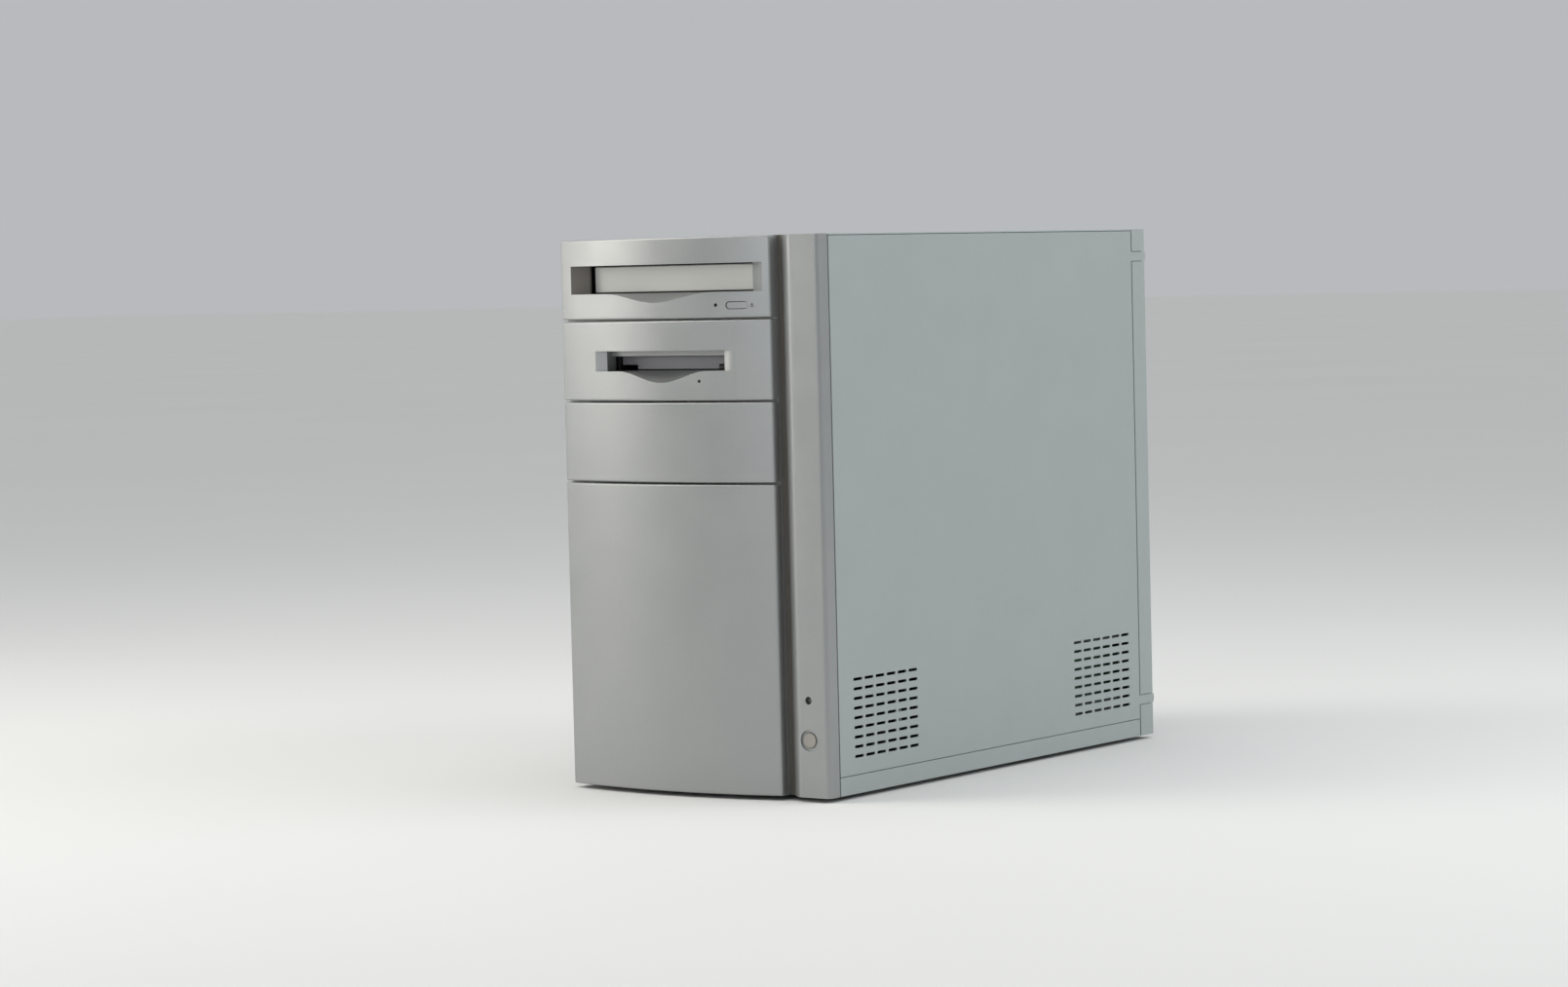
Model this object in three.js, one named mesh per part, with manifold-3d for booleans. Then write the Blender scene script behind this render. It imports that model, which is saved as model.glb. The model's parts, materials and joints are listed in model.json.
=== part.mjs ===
// A mini-tower desktop computer: steel chassis, moulded front with bowed bay panels, drives,
// power supply, motherboard, cards, fans and leads, each piece a separate closed solid.
// Units are millimetres. X is to the right seen from the front, Y towards the back, Z up.
// Sub-assemblies are built in the case frame: Y = 0 is the flat face of the front strip and
// Z = 0 the underside of the bottom pan. The root group then centres the whole object.
import * as THREE from "three";
import { mergeVertices } from "three/addons/utils/BufferGeometryUtils.js";
import Module from "manifold-3d";

const wasm = await Module();
wasm.setup();

// ---- Driving dimensions -------------------------------------------------------------------

const WIDTH = 208; // case, side to side
const HEIGHT = 362; // case, without its feet
const DEPTH = 406; // strip face to the rear panel's outer face
const SHEET = 1; // steel sheet
const GAP = 0.3; // between pieces that touch or are screwed together
const SEAM = 1.2; // visible joint between outer panels

const FLANGE_DEPTH = 11; // front moulding's side walls, back from the strip face
const MOULD = 2.5; // wall of the moulded front parts
const STRIP_WIDTH = 37; // right-hand strip, from the bay panels to the case's side
const COVE_WIDTH = 15; // curved side of the groove beside the bay panels
const GROOVE_DEPTH = 8.5;
const STRIP_CORNER = 3.5;
const BOW = 11; // rise of the bowed bay panels over their width
const PANEL_PROUD = 1; // bay panels' edges, in front of the strip face
const PANEL_BACK = 4.7; // back edges of the bay panels' walls
const BAY_PITCH = 53.3;
const BAY_COUNT = 3;
const LIP = 2; // top and bottom walls of the front moulding

const RAIL_HEIGHT = 12; // bottom pan's side rails, seen below the side panels
const REAR_STRIP = 17; // rear panel's side flanges
const HEM = 4.7; // folded edge of a side panel
const TAB = { width: 6.5, reach: 8.5, lows: [22.5, HEIGHT - 22.5] }; // side panels' rear tabs
const TAB_SLOT = { reach: 5.7, width: 3.6 };
const SCREW = { inset: 4.7, shank: 1.4, head: 3.4, headLength: 2.5 };
const FOOT_HEIGHT = 3;
const FOOT_RADIUS = 9;
const FOOT_INSET = 36;

const VENT = { length: 10.2, height: 2, pitchY: 12.8, pitchZ: 6.26, columns: 6, rows: 9, low: 24.2 };
const VENT_FRONT_START = 29; // first slot's front end, back from the strip face
const VENT_REAR_END = 374.2; // last slot's back end

const BAY_X = -16; // centre of the drives
const DRIVE_WIDTH = 146;
const DRIVE_HEIGHT = 41.3;
const DRIVE_LENGTH = 190;
const SMALL_DRIVE = { width: 101.6, height: 25.4, length: 146 };
const TRAY_FRONT = { width: 132, height: 17, thickness: 3.6, face: 7.5 };
const MOUTH_MARGIN = 0.8; // round the tray front
const TRAY_TRAVEL = 140; // full stroke of the disc tray

const BUTTON_X = WIDTH / 2 - 15.5; // power button and lamp, on the strip
const BUTTON_Z = 37;
const LAMP_Z = 62.8;
const BUTTON_RADIUS = 4.9;
const BUTTON_DISH = 6.8;
const LAMP_RADIUS = 2.2;
const RUNNING = 0.35; // clearance round buttons and the lamp

const PSU = { width: 150, height: 86, length: 140 };
const BOARD = { size: 244, thickness: 1.6, low: 14 };
const STANDOFF = 6;
const SLOT_PITCH = 20.32;
const SLOT_COUNT = 4;

// ---- Values worked out from them ----------------------------------------------------------

const HALF = WIDTH / 2;
const PANEL_RIGHT = HALF - STRIP_WIDTH;
const PANEL_WIDTH = PANEL_RIGHT + HALF;
const PANEL_MID = (PANEL_RIGHT - HALF) / 2;
const BOW_RADIUS = ((PANEL_WIDTH / 2) ** 2 + BOW ** 2) / (2 * BOW);
const BOW_CENTRE_Y = BOW_RADIUS - BOW - PANEL_PROUD;
const LOWER_TOP = HEIGHT - BAY_COUNT * BAY_PITCH;
const PANEL_START = FLANGE_DEPTH + SEAM; // front edge of side panels and top cover
const PANEL_END = DEPTH - REAR_STRIP - SEAM;
const REAR_INNER = DEPTH - SHEET;
const PLATE_Y = PANEL_START + GAP; // chassis front plate
const CAGE_START = PLATE_Y + SHEET + GAP;
const CAGE_LENGTH = 196;
const INNER_HALF = HALF - SHEET - HEM - GAP; // clear of the side panels' hems
const TRAY_MID_Z = HEIGHT - 26.5; // centre of the disc tray's front
const OPTICAL_LOW = TRAY_MID_Z - 24.5;
const FLOPPY_SLOT = { low: HEIGHT - 86.7, high: HEIGHT - 77, mouthHigh: HEIGHT - 73.4, width: 96 };
const FLOPPY_LOW = FLOPPY_SLOT.low - 10.8;
const HARD_DRIVE_LOW = LOWER_TOP - 37;
const PSU_LEFT = -INNER_HALF + SHEET + GAP;
const PSU_LOW = HEIGHT - SHEET - GAP - 0.7 - PSU.height;
const PSU_BACK = REAR_INNER - GAP;
const PSU_FRONT = PSU_BACK - PSU.length;
const TRAY_SHEET_X = INNER_HALF - SHEET - 0.5; // inner face of the motherboard tray
const BOARD_FACE = TRAY_SHEET_X - STANDOFF - BOARD.thickness; // component side of the board
const BOARD_BACK_Y = REAR_INNER - 3;
const BOARD_FRONT_Y = BOARD_BACK_Y - BOARD.size;
const SLOT_TOP_Z = BOARD.low + 65;
const FRONT_Y = -(BOW + PANEL_PROUD); // foremost point of the bowed panels
const EJECT = { x: BAY_X + 59.7, z: HEIGHT - 44.6, width: 15, height: 4.4 };

// ---- Solids --------------------------------------------------------------------------------

function solid(geometry) {
  const bare = geometry.clone();
  const extra = Object.keys(bare.attributes).filter((name) => name !== "position");
  extra.forEach((name) => bare.deleteAttribute(name));
  const merged = mergeVertices(bare.index ? bare.toNonIndexed() : bare, 1e-4);
  return new wasm.Manifold(
    new wasm.Mesh({
      numProp: 3,
      vertProperties: merged.attributes.position.array,
      triVerts: new Uint32Array(merged.index.array),
    }),
  );
}

function geometryOf(manifold) {
  const mesh = manifold.getMesh();
  const geometry = new THREE.BufferGeometry();
  geometry.setAttribute("position", new THREE.BufferAttribute(new Float32Array(mesh.vertProperties), 3));
  geometry.setIndex(new THREE.BufferAttribute(new Uint32Array(mesh.triVerts), 1));
  geometry.computeVertexNormals();
  return geometry;
}

const join = (first, ...rest) => rest.reduce((sum, next) => sum.add(next), first);
const cut = (base, ...tools) => tools.reduce((left, tool) => left.subtract(tool), base);

// A box between two corners.
function block(x0, x1, y0, y1, z0, z1) {
  const geometry = new THREE.BoxGeometry(x1 - x0, y1 - y0, z1 - z0);
  return solid(geometry.translate((x0 + x1) / 2, (y0 + y1) / 2, (z0 + z1) / 2));
}

// A box that runs along Y, centred at x, z.
function through(x, z, width, height, y0, y1) {
  return block(x - width / 2, x + width / 2, y0, y1, z - height / 2, z + height / 2);
}

const TURN_TO = {
  x: new THREE.Matrix4().makeRotationZ(-Math.PI / 2),
  y: new THREE.Matrix4(),
  z: new THREE.Matrix4().makeRotationX(Math.PI / 2),
};

// A round bar along an axis, from one end to the other through the centre given.
function bar(axis, radius, from, to, centre, sides = 24) {
  const geometry = new THREE.CylinderGeometry(radius, radius, to - from, sides);
  geometry.applyMatrix4(TURN_TO[axis]);
  const middle = (from + to) / 2;
  const place = { x: [middle, ...centre], y: [centre[0], middle, centre[1]], z: [...centre, middle] };
  return solid(geometry.translate(...place[axis]));
}

// A prism: an outline of [a, b] points, extruded along an axis. Along z the points are x, y;
// along y they are x, z; along x they are y, z.
const PRISM_BASIS = {
  z: new THREE.Matrix4(),
  y: new THREE.Matrix4().set(1, 0, 0, 0, 0, 0, 1, 0, 0, 1, 0, 0, 0, 0, 0, 1),
  x: new THREE.Matrix4().set(0, 0, 1, 0, 1, 0, 0, 0, 0, 1, 0, 0, 0, 0, 0, 1),
};
function prism(axis, outline, from, to) {
  const shape = new THREE.Shape(outline.map(([a, b]) => new THREE.Vector2(a, b)));
  const geometry = new THREE.ExtrudeGeometry(shape, { depth: to - from, bevelEnabled: false, steps: 1 });
  geometry.translate(0, 0, from).applyMatrix4(PRISM_BASIS[axis]);
  const made = solid(geometry);
  return made.volume() < 0 ? flipped(geometry) : made;
}

function flipped(geometry) {
  const position = geometry.attributes.position;
  const turned = position.array.slice();
  for (let i = 0; i < turned.length; i += 9) {
    for (let k = 0; k < 3; k++) {
      [turned[i + 3 + k], turned[i + 6 + k]] = [turned[i + 6 + k], turned[i + 3 + k]];
    }
  }
  const result = new THREE.BufferGeometry();
  result.setAttribute("position", new THREE.BufferAttribute(turned, 3));
  return solid(result);
}

// A tube of round section along a smooth curve through the points.
function tube(points, radius, steps) {
  const path = new THREE.CatmullRomCurve3(points.map((p) => new THREE.Vector3(...p)));
  const section = new THREE.Shape();
  section.absarc(0, 0, radius, 0, 2 * Math.PI);
  const geometry = new THREE.ExtrudeGeometry(section, { extrudePath: path, steps, curveSegments: 5 });
  const made = solid(geometry);
  return made.volume() < 0 ? flipped(geometry) : made;
}

const finish = (color, roughness, metalness = 0) =>
  new THREE.MeshStandardMaterial({ color, roughness, metalness });
const FINISH = {
  frontPlastic: finish(0xa9aba9, 0.4, 0.1),
  trayPlastic: finish(0xc9c6bd, 0.5),
  paintedSteel: finish(0xa6acac, 0.45, 0.2),
  zincSteel: finish(0xb4b6b8, 0.35, 0.9),
  blackPlastic: finish(0x1b1c1e, 0.5),
  darkPlastic: finish(0x4a4a4d, 0.5),
  rubber: finish(0x202020, 0.9),
  boardGreen: finish(0x1f5a3c, 0.5),
  aluminium: finish(0xb9bcc0, 0.4, 0.9),
  connector: finish(0xcfcabd, 0.5),
  ribbon: finish(0x9a9da0, 0.6),
  lamp: finish(0x2e3b2e, 0.2),
};

function piece(name, manifold, material) {
  const mesh = new THREE.Mesh(geometryOf(manifold), material);
  mesh.name = name;
  return mesh;
}

function assembly(...children) {
  const group = new THREE.Group();
  group.add(...children);
  return group;
}

// ---- Moulded front -------------------------------------------------------------------------

// The bowed outer surface's Y at a given X, moved back by an inset.
const bowY = (x, inset = 0) =>
  BOW_CENTRE_Y - Math.sqrt((BOW_RADIUS - inset) ** 2 - (x - PANEL_MID) ** 2);

// A plan outline whose front edge follows the bow, from one X to another.
function bowOutline(x0, x1, back, inset) {
  const arcs = 28;
  const front = Array.from({ length: arcs + 1 }, (_, i) => {
    const x = x0 + ((x1 - x0) * i) / arcs;
    return [x, bowY(x, inset)];
  });
  return [...front, [x1, back], [x0, back]];
}

// A bowed panel, open at the back, between two heights.
function bowedShell(low, high) {
  const outer = prism("z", bowOutline(-HALF, PANEL_RIGHT, PANEL_BACK, 0), low, high);
  const hollow = bowOutline(-HALF + MOULD, PANEL_RIGHT - MOULD, PANEL_BACK + 1, MOULD);
  return cut(outer, prism("z", hollow, low + MOULD, high - MOULD));
}

const bayHigh = (bay) => HEIGHT - bay * BAY_PITCH - (bay ? SEAM / 2 : 0);
const bayLow = (bay) => HEIGHT - (bay + 1) * BAY_PITCH + SEAM / 2;

// A frame of solid material behind the bow, for an opening to be cut through.
const backing = (x0, x1, z0, z1) => prism("z", bowOutline(x0, x1, PANEL_BACK, MOULD / 2), z0, z1);

// A mouth whose left and right sides flare outwards in front of its neck.
function flaredMouth(halfInner, halfOuter, neckY, z0, z1) {
  const front = FRONT_Y - 2;
  const side = (s) => [
    [BAY_X + s * halfInner, PANEL_BACK + 1],
    [BAY_X + s * halfInner, neckY],
    [BAY_X + s * halfOuter, bowY(BAY_X + s * halfOuter)],
    [BAY_X + s * halfOuter, front],
  ];
  return prism("z", [...side(-1), ...side(1).reverse()], z0, z1);
}

// A finger scoop under a mouth: a smooth dip in the bowed face, whose floor rises to the back.
function fingerScoop(centre, halfWidth, dip, mouthLow) {
  const steps = 24;
  const front = FRONT_Y - 1;
  const back = PANEL_BACK;
  const ribs = Array.from({ length: steps + 1 }, (_, i) => {
    const share = i / steps;
    const x = centre - halfWidth + 2 * halfWidth * share;
    const fall = (dip * Math.sin(Math.PI * share) ** 2 * (back - front)) / (back - bowY(x));
    return [
      [x, front, mouthLow - fall - 0.02],
      [x, back, mouthLow - 0.02],
      [x, front, mouthLow + 1],
      [x, back, mouthLow + 1],
    ];
  });
  const slices = ribs.slice(1).map((rib, i) => wasm.Manifold.hull([...ribs[i], ...rib]));
  return join(...slices);
}

// A pill outline centred at x, z.
function pill(x, z, width, height) {
  const radius = height / 2;
  const reach = width / 2 - radius;
  const steps = 8;
  const end = (side) =>
    Array.from({ length: steps + 1 }, (_, i) => {
      const angle = Math.PI * (i / steps - 0.5);
      return [x + side * (reach + radius * Math.cos(angle)), z + side * radius * Math.sin(angle)];
    });
  return [...end(1), ...end(-1)];
}

function opticalBayPanel() {
  const low = TRAY_MID_Z - TRAY_FRONT.height / 2 - MOUTH_MARGIN;
  const high = TRAY_MID_Z + TRAY_FRONT.height / 2 + MOUTH_MARGIN;
  const halfInner = TRAY_FRONT.width / 2 + MOUTH_MARGIN;
  const halfOuter = halfInner + 11;
  const front = FRONT_Y - 1;
  const back = PANEL_BACK + 1;
  const frame = backing(BAY_X - halfOuter - 4, BAY_X + halfOuter + 4, low - 9, high + 3);
  const ejectHole = pill(EJECT.x, EJECT.z, EJECT.width + 2 * RUNNING, EJECT.height + 2 * RUNNING);
  return cut(
    join(bowedShell(bayLow(0), bayHigh(0)), frame),
    flaredMouth(halfInner, halfOuter, PANEL_BACK - 2, low, high),
    fingerScoop(BAY_X - 2, 43, 6.3, low),
    prism("y", ejectHole, front, back),
    bar("y", 1.2, front, back, [BAY_X + 44.7, EJECT.z + 0.3], 12),
  );
}

function floppyBayPanel() {
  const { low, high, mouthHigh } = FLOPPY_SLOT;
  const half = FLOPPY_SLOT.width / 2;
  const front = FRONT_Y - 1;
  const back = PANEL_BACK + 1;
  const frame = backing(BAY_X - half - 11, BAY_X + half + 11, low - 10, mouthHigh + 3);
  const lipY = 0.8; // front face of the lip that hangs at the top of the mouth
  const section = [
    [front - 1, low],
    [front - 1, mouthHigh],
    [lipY, mouthHigh],
    [lipY, high],
    [back, high],
    [back, low],
  ];
  const mouth = flaredMouth(half, half + 7.5, -4.8, low, mouthHigh);
  return cut(
    join(bowedShell(bayLow(1), bayHigh(1)), frame),
    mouth.intersect(prism("x", section, -HALF, HALF)),
    fingerScoop(BAY_X + 1.5, 36, 7.6, low),
    bar("y", 1.1, front, back, [BAY_X + 31.2, low - 6.7], 12),
  );
}

const CLIP_HEIGHTS = [12, LOWER_TOP - 12, HEIGHT - 14];
// The clips go in on either side, between the drive cage and the edges of the chassis plate.
const CLIP_X = (DRIVE_WIDTH / 2 + 1 + SHEET - BAY_X + INNER_HALF) / 2;

function frontBezel() {
  const steps = 12;
  const stripX = PANEL_RIGHT + COVE_WIDTH;
  const cove = Array.from({ length: steps + 1 }, (_, i) => {
    const share = i / steps;
    return [PANEL_RIGHT + COVE_WIDTH * share, (GROOVE_DEPTH * (1 + Math.cos(Math.PI * share))) / 2];
  });
  const cornerSteps = 8;
  const round = Array.from({ length: cornerSteps + 1 }, (_, i) => {
    const angle = (Math.PI / 2) * (i / cornerSteps);
    const across = STRIP_CORNER * Math.sin(angle);
    return [HALF - STRIP_CORNER + across, STRIP_CORNER * (1 - Math.cos(angle))];
  });
  const back = PANEL_BACK + GAP;
  const strip = [
    [PANEL_RIGHT - MOULD, back],
    [PANEL_RIGHT, back],
    ...cove,
    ...round,
    [HALF, FLANGE_DEPTH],
    [HALF - MOULD, FLANGE_DEPTH],
    [HALF - MOULD, MOULD],
    [stripX, MOULD],
    [PANEL_RIGHT + MOULD, GROOVE_DEPTH + MOULD],
    [PANEL_RIGHT - MOULD, GROOVE_DEPTH + MOULD],
  ];
  const plate = block(-HALF, PANEL_RIGHT - 1, back, back + MOULD, 0, HEIGHT);
  const leftWall = block(-HALF, -HALF + MOULD, back, FLANGE_DEPTH, 0, HEIGHT);
  const ends = [0, HEIGHT - LIP].flatMap((z) => [
    block(-HALF, PANEL_RIGHT - 1, back, FLANGE_DEPTH, z, z + LIP),
    block(PANEL_RIGHT - 2, stripX + 1, GROOVE_DEPTH + 0.5, FLANGE_DEPTH, z, z + LIP),
    block(stripX, HALF - STRIP_CORNER, 0.2, FLANGE_DEPTH, z, z + LIP),
  ]);
  const clips = CLIP_HEIGHTS.flatMap((z) =>
    [-1, 1].map((side) => {
      const start = side < 0 ? MOULD - 1 + back : MOULD - 1;
      return through(side * CLIP_X, z, 2, 8, start, PLATE_Y + SHEET + 2);
    }),
  );
  const windowTops = [OPTICAL_LOW + DRIVE_HEIGHT + 1, bayHigh(1) - 5, bayHigh(2) - 5];
  const windowHeight = DRIVE_HEIGHT + 2;
  const windows = windowTops.map((top) =>
    through(BAY_X, top - windowHeight / 2, DRIVE_WIDTH + 2, windowHeight, back - 1, back + MOULD + 1),
  );
  const air = Array.from({ length: 4 }, (_, i) =>
    block(-80, 50, back - 1, back + MOULD + 1, 22 + i * 42, 54 + i * 42),
  );
  return cut(
    join(prism("z", strip, 0, HEIGHT), plate, leftWall, ...ends, ...clips),
    ...windows,
    ...air,
    bar("y", BUTTON_DISH, -1, 1.3, [BUTTON_X, BUTTON_Z]),
    bar("y", BUTTON_RADIUS + RUNNING, -1, FLANGE_DEPTH + 1, [BUTTON_X, BUTTON_Z]),
    bar("y", LAMP_RADIUS + RUNNING, -1, FLANGE_DEPTH + 1, [BUTTON_X, LAMP_Z], 16),
  );
}

function powerButton() {
  return join(
    bar("y", BUTTON_RADIUS, 0.4, MOULD + 2.5, [BUTTON_X, BUTTON_Z]),
    bar("y", BUTTON_RADIUS + 1.3, MOULD + GAP, MOULD + 1.8, [BUTTON_X, BUTTON_Z]),
    bar("y", 2.2, MOULD + 2, FLANGE_DEPTH + 1, [BUTTON_X, BUTTON_Z], 12),
  );
}

function ejectButton() {
  const outline = pill(EJECT.x, EJECT.z, EJECT.width, EJECT.height);
  const inside = bowOutline(-HALF, PANEL_RIGHT, PANEL_BACK + 5, 0.5);
  return prism("y", outline, FRONT_Y, PANEL_BACK + 2.2).intersect(
    prism("z", inside, EJECT.z - 10, EJECT.z + 10),
  );
}

function powerSwitchBoard() {
  const y = PLATE_Y + SHEET + 3.5;
  return join(
    block(BUTTON_X - 7, BUTTON_X + 7, y, y + BOARD.thickness, BUTTON_Z - 10, LAMP_Z + 9),
    block(BUTTON_X - 3, BUTTON_X + 3, y - 2, y + 0.5, BUTTON_Z - 3, BUTTON_Z + 3),
    block(BUTTON_X - 4, BUTTON_X + 4, y + 1, y + 6, LAMP_Z - 14, LAMP_Z - 6),
  );
}

function powerLamp() {
  const y = PLATE_Y + SHEET + 3.5 - GAP;
  return bar("y", LAMP_RADIUS, 1.2, y, [BUTTON_X, LAMP_Z], 16);
}

const front = assembly(
  piece("front_bezel", frontBezel(), FINISH.frontPlastic),
  piece("optical_bay_panel", opticalBayPanel(), FINISH.frontPlastic),
  piece("floppy_bay_panel", floppyBayPanel(), FINISH.frontPlastic),
  piece("blank_bay_panel", bowedShell(bayLow(2), bayHigh(2)), FINISH.frontPlastic),
  piece("lower_front_cover", bowedShell(0, LOWER_TOP - SEAM / 2), FINISH.frontPlastic),
  piece("power_button", powerButton(), FINISH.trayPlastic),
  piece("optical_eject_button", ejectButton(), FINISH.frontPlastic),
  piece("power_lamp", powerLamp(), FINISH.lamp),
  piece("power_switch_board", powerSwitchBoard(), FINISH.boardGreen),
);

// ---- Chassis -------------------------------------------------------------------------------

function bottomPan() {
  const narrow = HALF - SHEET - GAP;
  const holes = footPlaces.map(([x, y]) => bar("z", 3.3, -1, SHEET + 1, [x, y], 12));
  return cut(
    join(
      block(-HALF, HALF, PANEL_START, PANEL_END, 0, SHEET),
      block(-narrow, narrow, PANEL_END - 1, REAR_INNER - GAP, 0, SHEET),
      block(-HALF, -HALF + SHEET, PANEL_START, PANEL_END, 0, RAIL_HEIGHT),
      block(HALF - SHEET, HALF, PANEL_START, PANEL_END, 0, RAIL_HEIGHT),
    ),
    ...holes,
  );
}

const footPlaces = [
  [-HALF + FOOT_INSET, PANEL_START + FOOT_INSET],
  [HALF - FOOT_INSET, PANEL_START + FOOT_INSET],
  [-HALF + FOOT_INSET, DEPTH - FOOT_INSET],
  [HALF - FOOT_INSET, DEPTH - FOOT_INSET],
];

function foot(x, y) {
  return join(
    bar("z", FOOT_RADIUS, -FOOT_HEIGHT, -GAP, [x, y], 20),
    bar("z", 3, -1, SHEET + 1, [x, y], 12),
    bar("z", 3.9, SHEET + GAP, SHEET + 2, [x, y], 12),
  );
}

function topCover() {
  const narrow = HALF - SHEET - GAP;
  const top = HEIGHT - SHEET;
  return join(
    block(-HALF, HALF, PANEL_START, PANEL_END, top, HEIGHT),
    block(-narrow, narrow, PANEL_END - 1, REAR_INNER - GAP, top, HEIGHT),
    block(-INNER_HALF, -INNER_HALF + SHEET, CAGE_START, PANEL_END - 8, top - 8, top + 0.5),
    block(INNER_HALF - SHEET, INNER_HALF, CAGE_START, PANEL_END - 8, top - 8, top + 0.5),
  );
}

const FAN = { size: 80, depth: 25, bore: 38, screw: 35.75 };
const CASE_FAN = { x: -44, z: 186 };
const IO_LOW = SLOT_TOP_Z + 12;
const IO = { x0: TRAY_SHEET_X - 46, x1: TRAY_SHEET_X - 1.5, z0: IO_LOW, z1: IO_LOW + 158.7 };
const slotZ = (index) => SLOT_TOP_Z - index * SLOT_PITCH;
const BRACKET = { reach: 120, width: 18.4, thickness: 0.9 };
const BRACKET_X1 = TRAY_SHEET_X - 0.5;
const BRACKET_X0 = BRACKET_X1 - BRACKET.reach;

function rearPanel() {
  const start = REAR_INNER - 1;
  const end = DEPTH + 1;
  const walls = [-1, 1].map((side) => {
    const middle = side * (HALF - SHEET / 2);
    return through(middle, HEIGHT / 2, SHEET, HEIGHT, DEPTH - REAR_STRIP, DEPTH);
  });
  const tabNotches = [-1, 1].flatMap((side) =>
    TAB.lows.map((z) => {
      const reach = SHEET + 0.2;
      const middle = side * (HALF - reach / 2);
      return through(middle, z + TAB.width / 2, 2 * reach, TAB.width + 0.8, DEPTH - REAR_STRIP - 1, end);
    }),
  );
  const screwHoles = screwPlaces.map((place) => bar("y", SCREW.shank + GAP, start, end, place, 12));
  const fanHoles = [-1, 1].flatMap((sx) =>
    [-1, 1].map((sz) => {
      const place = [CASE_FAN.x + sx * FAN.screw, CASE_FAN.z + sz * FAN.screw];
      return bar("y", 2.2, start, end, place, 10);
    }),
  );
  const slots = Array.from({ length: SLOT_COUNT }, (_, i) =>
    block(BRACKET_X0 + 7, BRACKET_X1 - 7, start, end, slotZ(i) - 6.2, slotZ(i) + 6.2),
  );
  const psuMiddle = [PSU_LEFT + PSU.width / 2, PSU_LOW + PSU.height / 2];
  return cut(
    join(block(-HALF, HALF, REAR_INNER, DEPTH, 0, HEIGHT), ...walls),
    ...tabNotches,
    ...screwHoles,
    through(...psuMiddle, PSU.width - 6, PSU.height - 6, start, end),
    block(IO.x0, IO.x1, start, end, IO.z0, IO.z1),
    ...slots,
    fanGuardCut(CASE_FAN.x, CASE_FAN.z, start, end),
    ...fanHoles,
  );
}

const SCREW_HEAD_Y = DEPTH + GAP + SHEET + 0.5; // clear of a tab sliding out from under it
const screwPlaces = TAB.lows.flatMap(
  (z) => [-1, 1].map((side) => [side * (HALF - SCREW.inset), z + TAB.width / 2]),
);

// A cover screw, standing in the rear panel with its head over a tab.
function coverScrew(x, z) {
  const headEnd = SCREW_HEAD_Y + SCREW.headLength;
  return cut(
    join(
      bar("y", SCREW.shank, REAR_INNER - 3, headEnd - 0.5, [x, z], 12),
      bar("y", SCREW.head, SCREW_HEAD_Y, headEnd, [x, z], 12),
    ),
    block(x - 2, x + 2, headEnd - 1, headEnd + 1, z - 0.5, z + 0.5),
    block(x - 0.5, x + 0.5, headEnd - 1, headEnd + 1, z - 2, z + 2),
  );
}

// The open arcs of a stamped fan guard: rings between spokes.
function fanGuardCut(x, z, from, to) {
  const rings = [[14, 20], [23, 29], [32, 38]];
  const spokes = [0, 1].map((turn) => {
    const arm = block(-FAN.size, FAN.size, from - 1, to + 1, -1.6, 1.6);
    return arm.rotate([0, 45 + 90 * turn, 0]).translate([x, 0, z]);
  });
  const open = rings.map(
    ([inner, outer]) => cut(
      bar("y", outer, from, to, [x, z], 28),
      bar("y", inner, from - 1, to + 1, [x, z], 28),
    ),
  );
  return cut(join(...open), ...spokes);
}

function frontPlate() {
  const bays = [OPTICAL_LOW, FLOPPY_LOW - 9, bayLow(2) + 5].map((low) =>
    block(
      BAY_X - DRIVE_WIDTH / 2 - 0.7,
      BAY_X + DRIVE_WIDTH / 2 + 0.7,
      PLATE_Y - 1,
      CAGE_START,
      low - 0.7,
      low + DRIVE_HEIGHT + 0.7,
    ),
  );
  const clipSlots = CLIP_HEIGHTS.flatMap((z) =>
    [-1, 1].map(
      (side) => block(
        side * CLIP_X - 1.6,
        side * CLIP_X + 1.6,
        PLATE_Y - 1,
        CAGE_START,
        z - 4.8,
        z + 4.8,
      ),
    ),
  );
  const intake = Array.from(
    { length: 6 },
    (_, i) => block(-46, 14, PLATE_Y - 1, CAGE_START, 18 + i * 9, 22 + i * 9),
  );
  const speakerHoles = Array.from({ length: 4 }, (_, i) =>
    block(
      SPEAKER.x - 18,
      SPEAKER.x + 18,
      PLATE_Y - 1,
      CAGE_START,
      SPEAKER.z - 14 + i * 8,
      SPEAKER.z - 10.5 + i * 8,
    ),
  );
  return cut(
    block(-INNER_HALF, INNER_HALF, PLATE_Y, PLATE_Y + SHEET, SHEET + GAP, HEIGHT - SHEET - GAP),
    ...bays,
    ...clipSlots,
    ...intake,
    ...speakerHoles,
    block(BUTTON_X - 6, BUTTON_X + 6, PLATE_Y - 1, CAGE_START, BUTTON_Z - 9, LAMP_Z + 8),
  );
}

const SPEAKER = { x: BAY_X, z: LOWER_TOP - 94, radius: 28.5, depth: 14 };

function speaker() {
  const { radius, depth } = SPEAKER;
  const profile = [
    [0, 0],
    [radius, 0],
    [radius, 3],
    [13, depth - 3],
    [13, depth],
    [0, depth],
  ];
  const cone = new THREE.LatheGeometry(profile.map(([r, h]) => new THREE.Vector2(r, h)), 20);
  return solid(cone.translate(SPEAKER.x, CAGE_START, SPEAKER.z));
}

const BOARD_TRAY = { front: BOARD_FRONT_Y - 8, low: SHEET + GAP, high: BOARD.low + BOARD.size + 4 };
const AIR_START = VENT_REAR_END - 70; // opening in the tray behind the rear vents
// The lower rear corner has no standoff, because the air opening is there.
const STANDOFF_PLACES = [18, BOARD.size / 2, BOARD.size - 18]
  .flatMap((y) => [10, BOARD.size / 2, BOARD.size - 12].map((z) => [BOARD_FRONT_Y + y, BOARD.low + z]))
  .filter(([y, z]) => y < AIR_START || z > 80);

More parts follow.
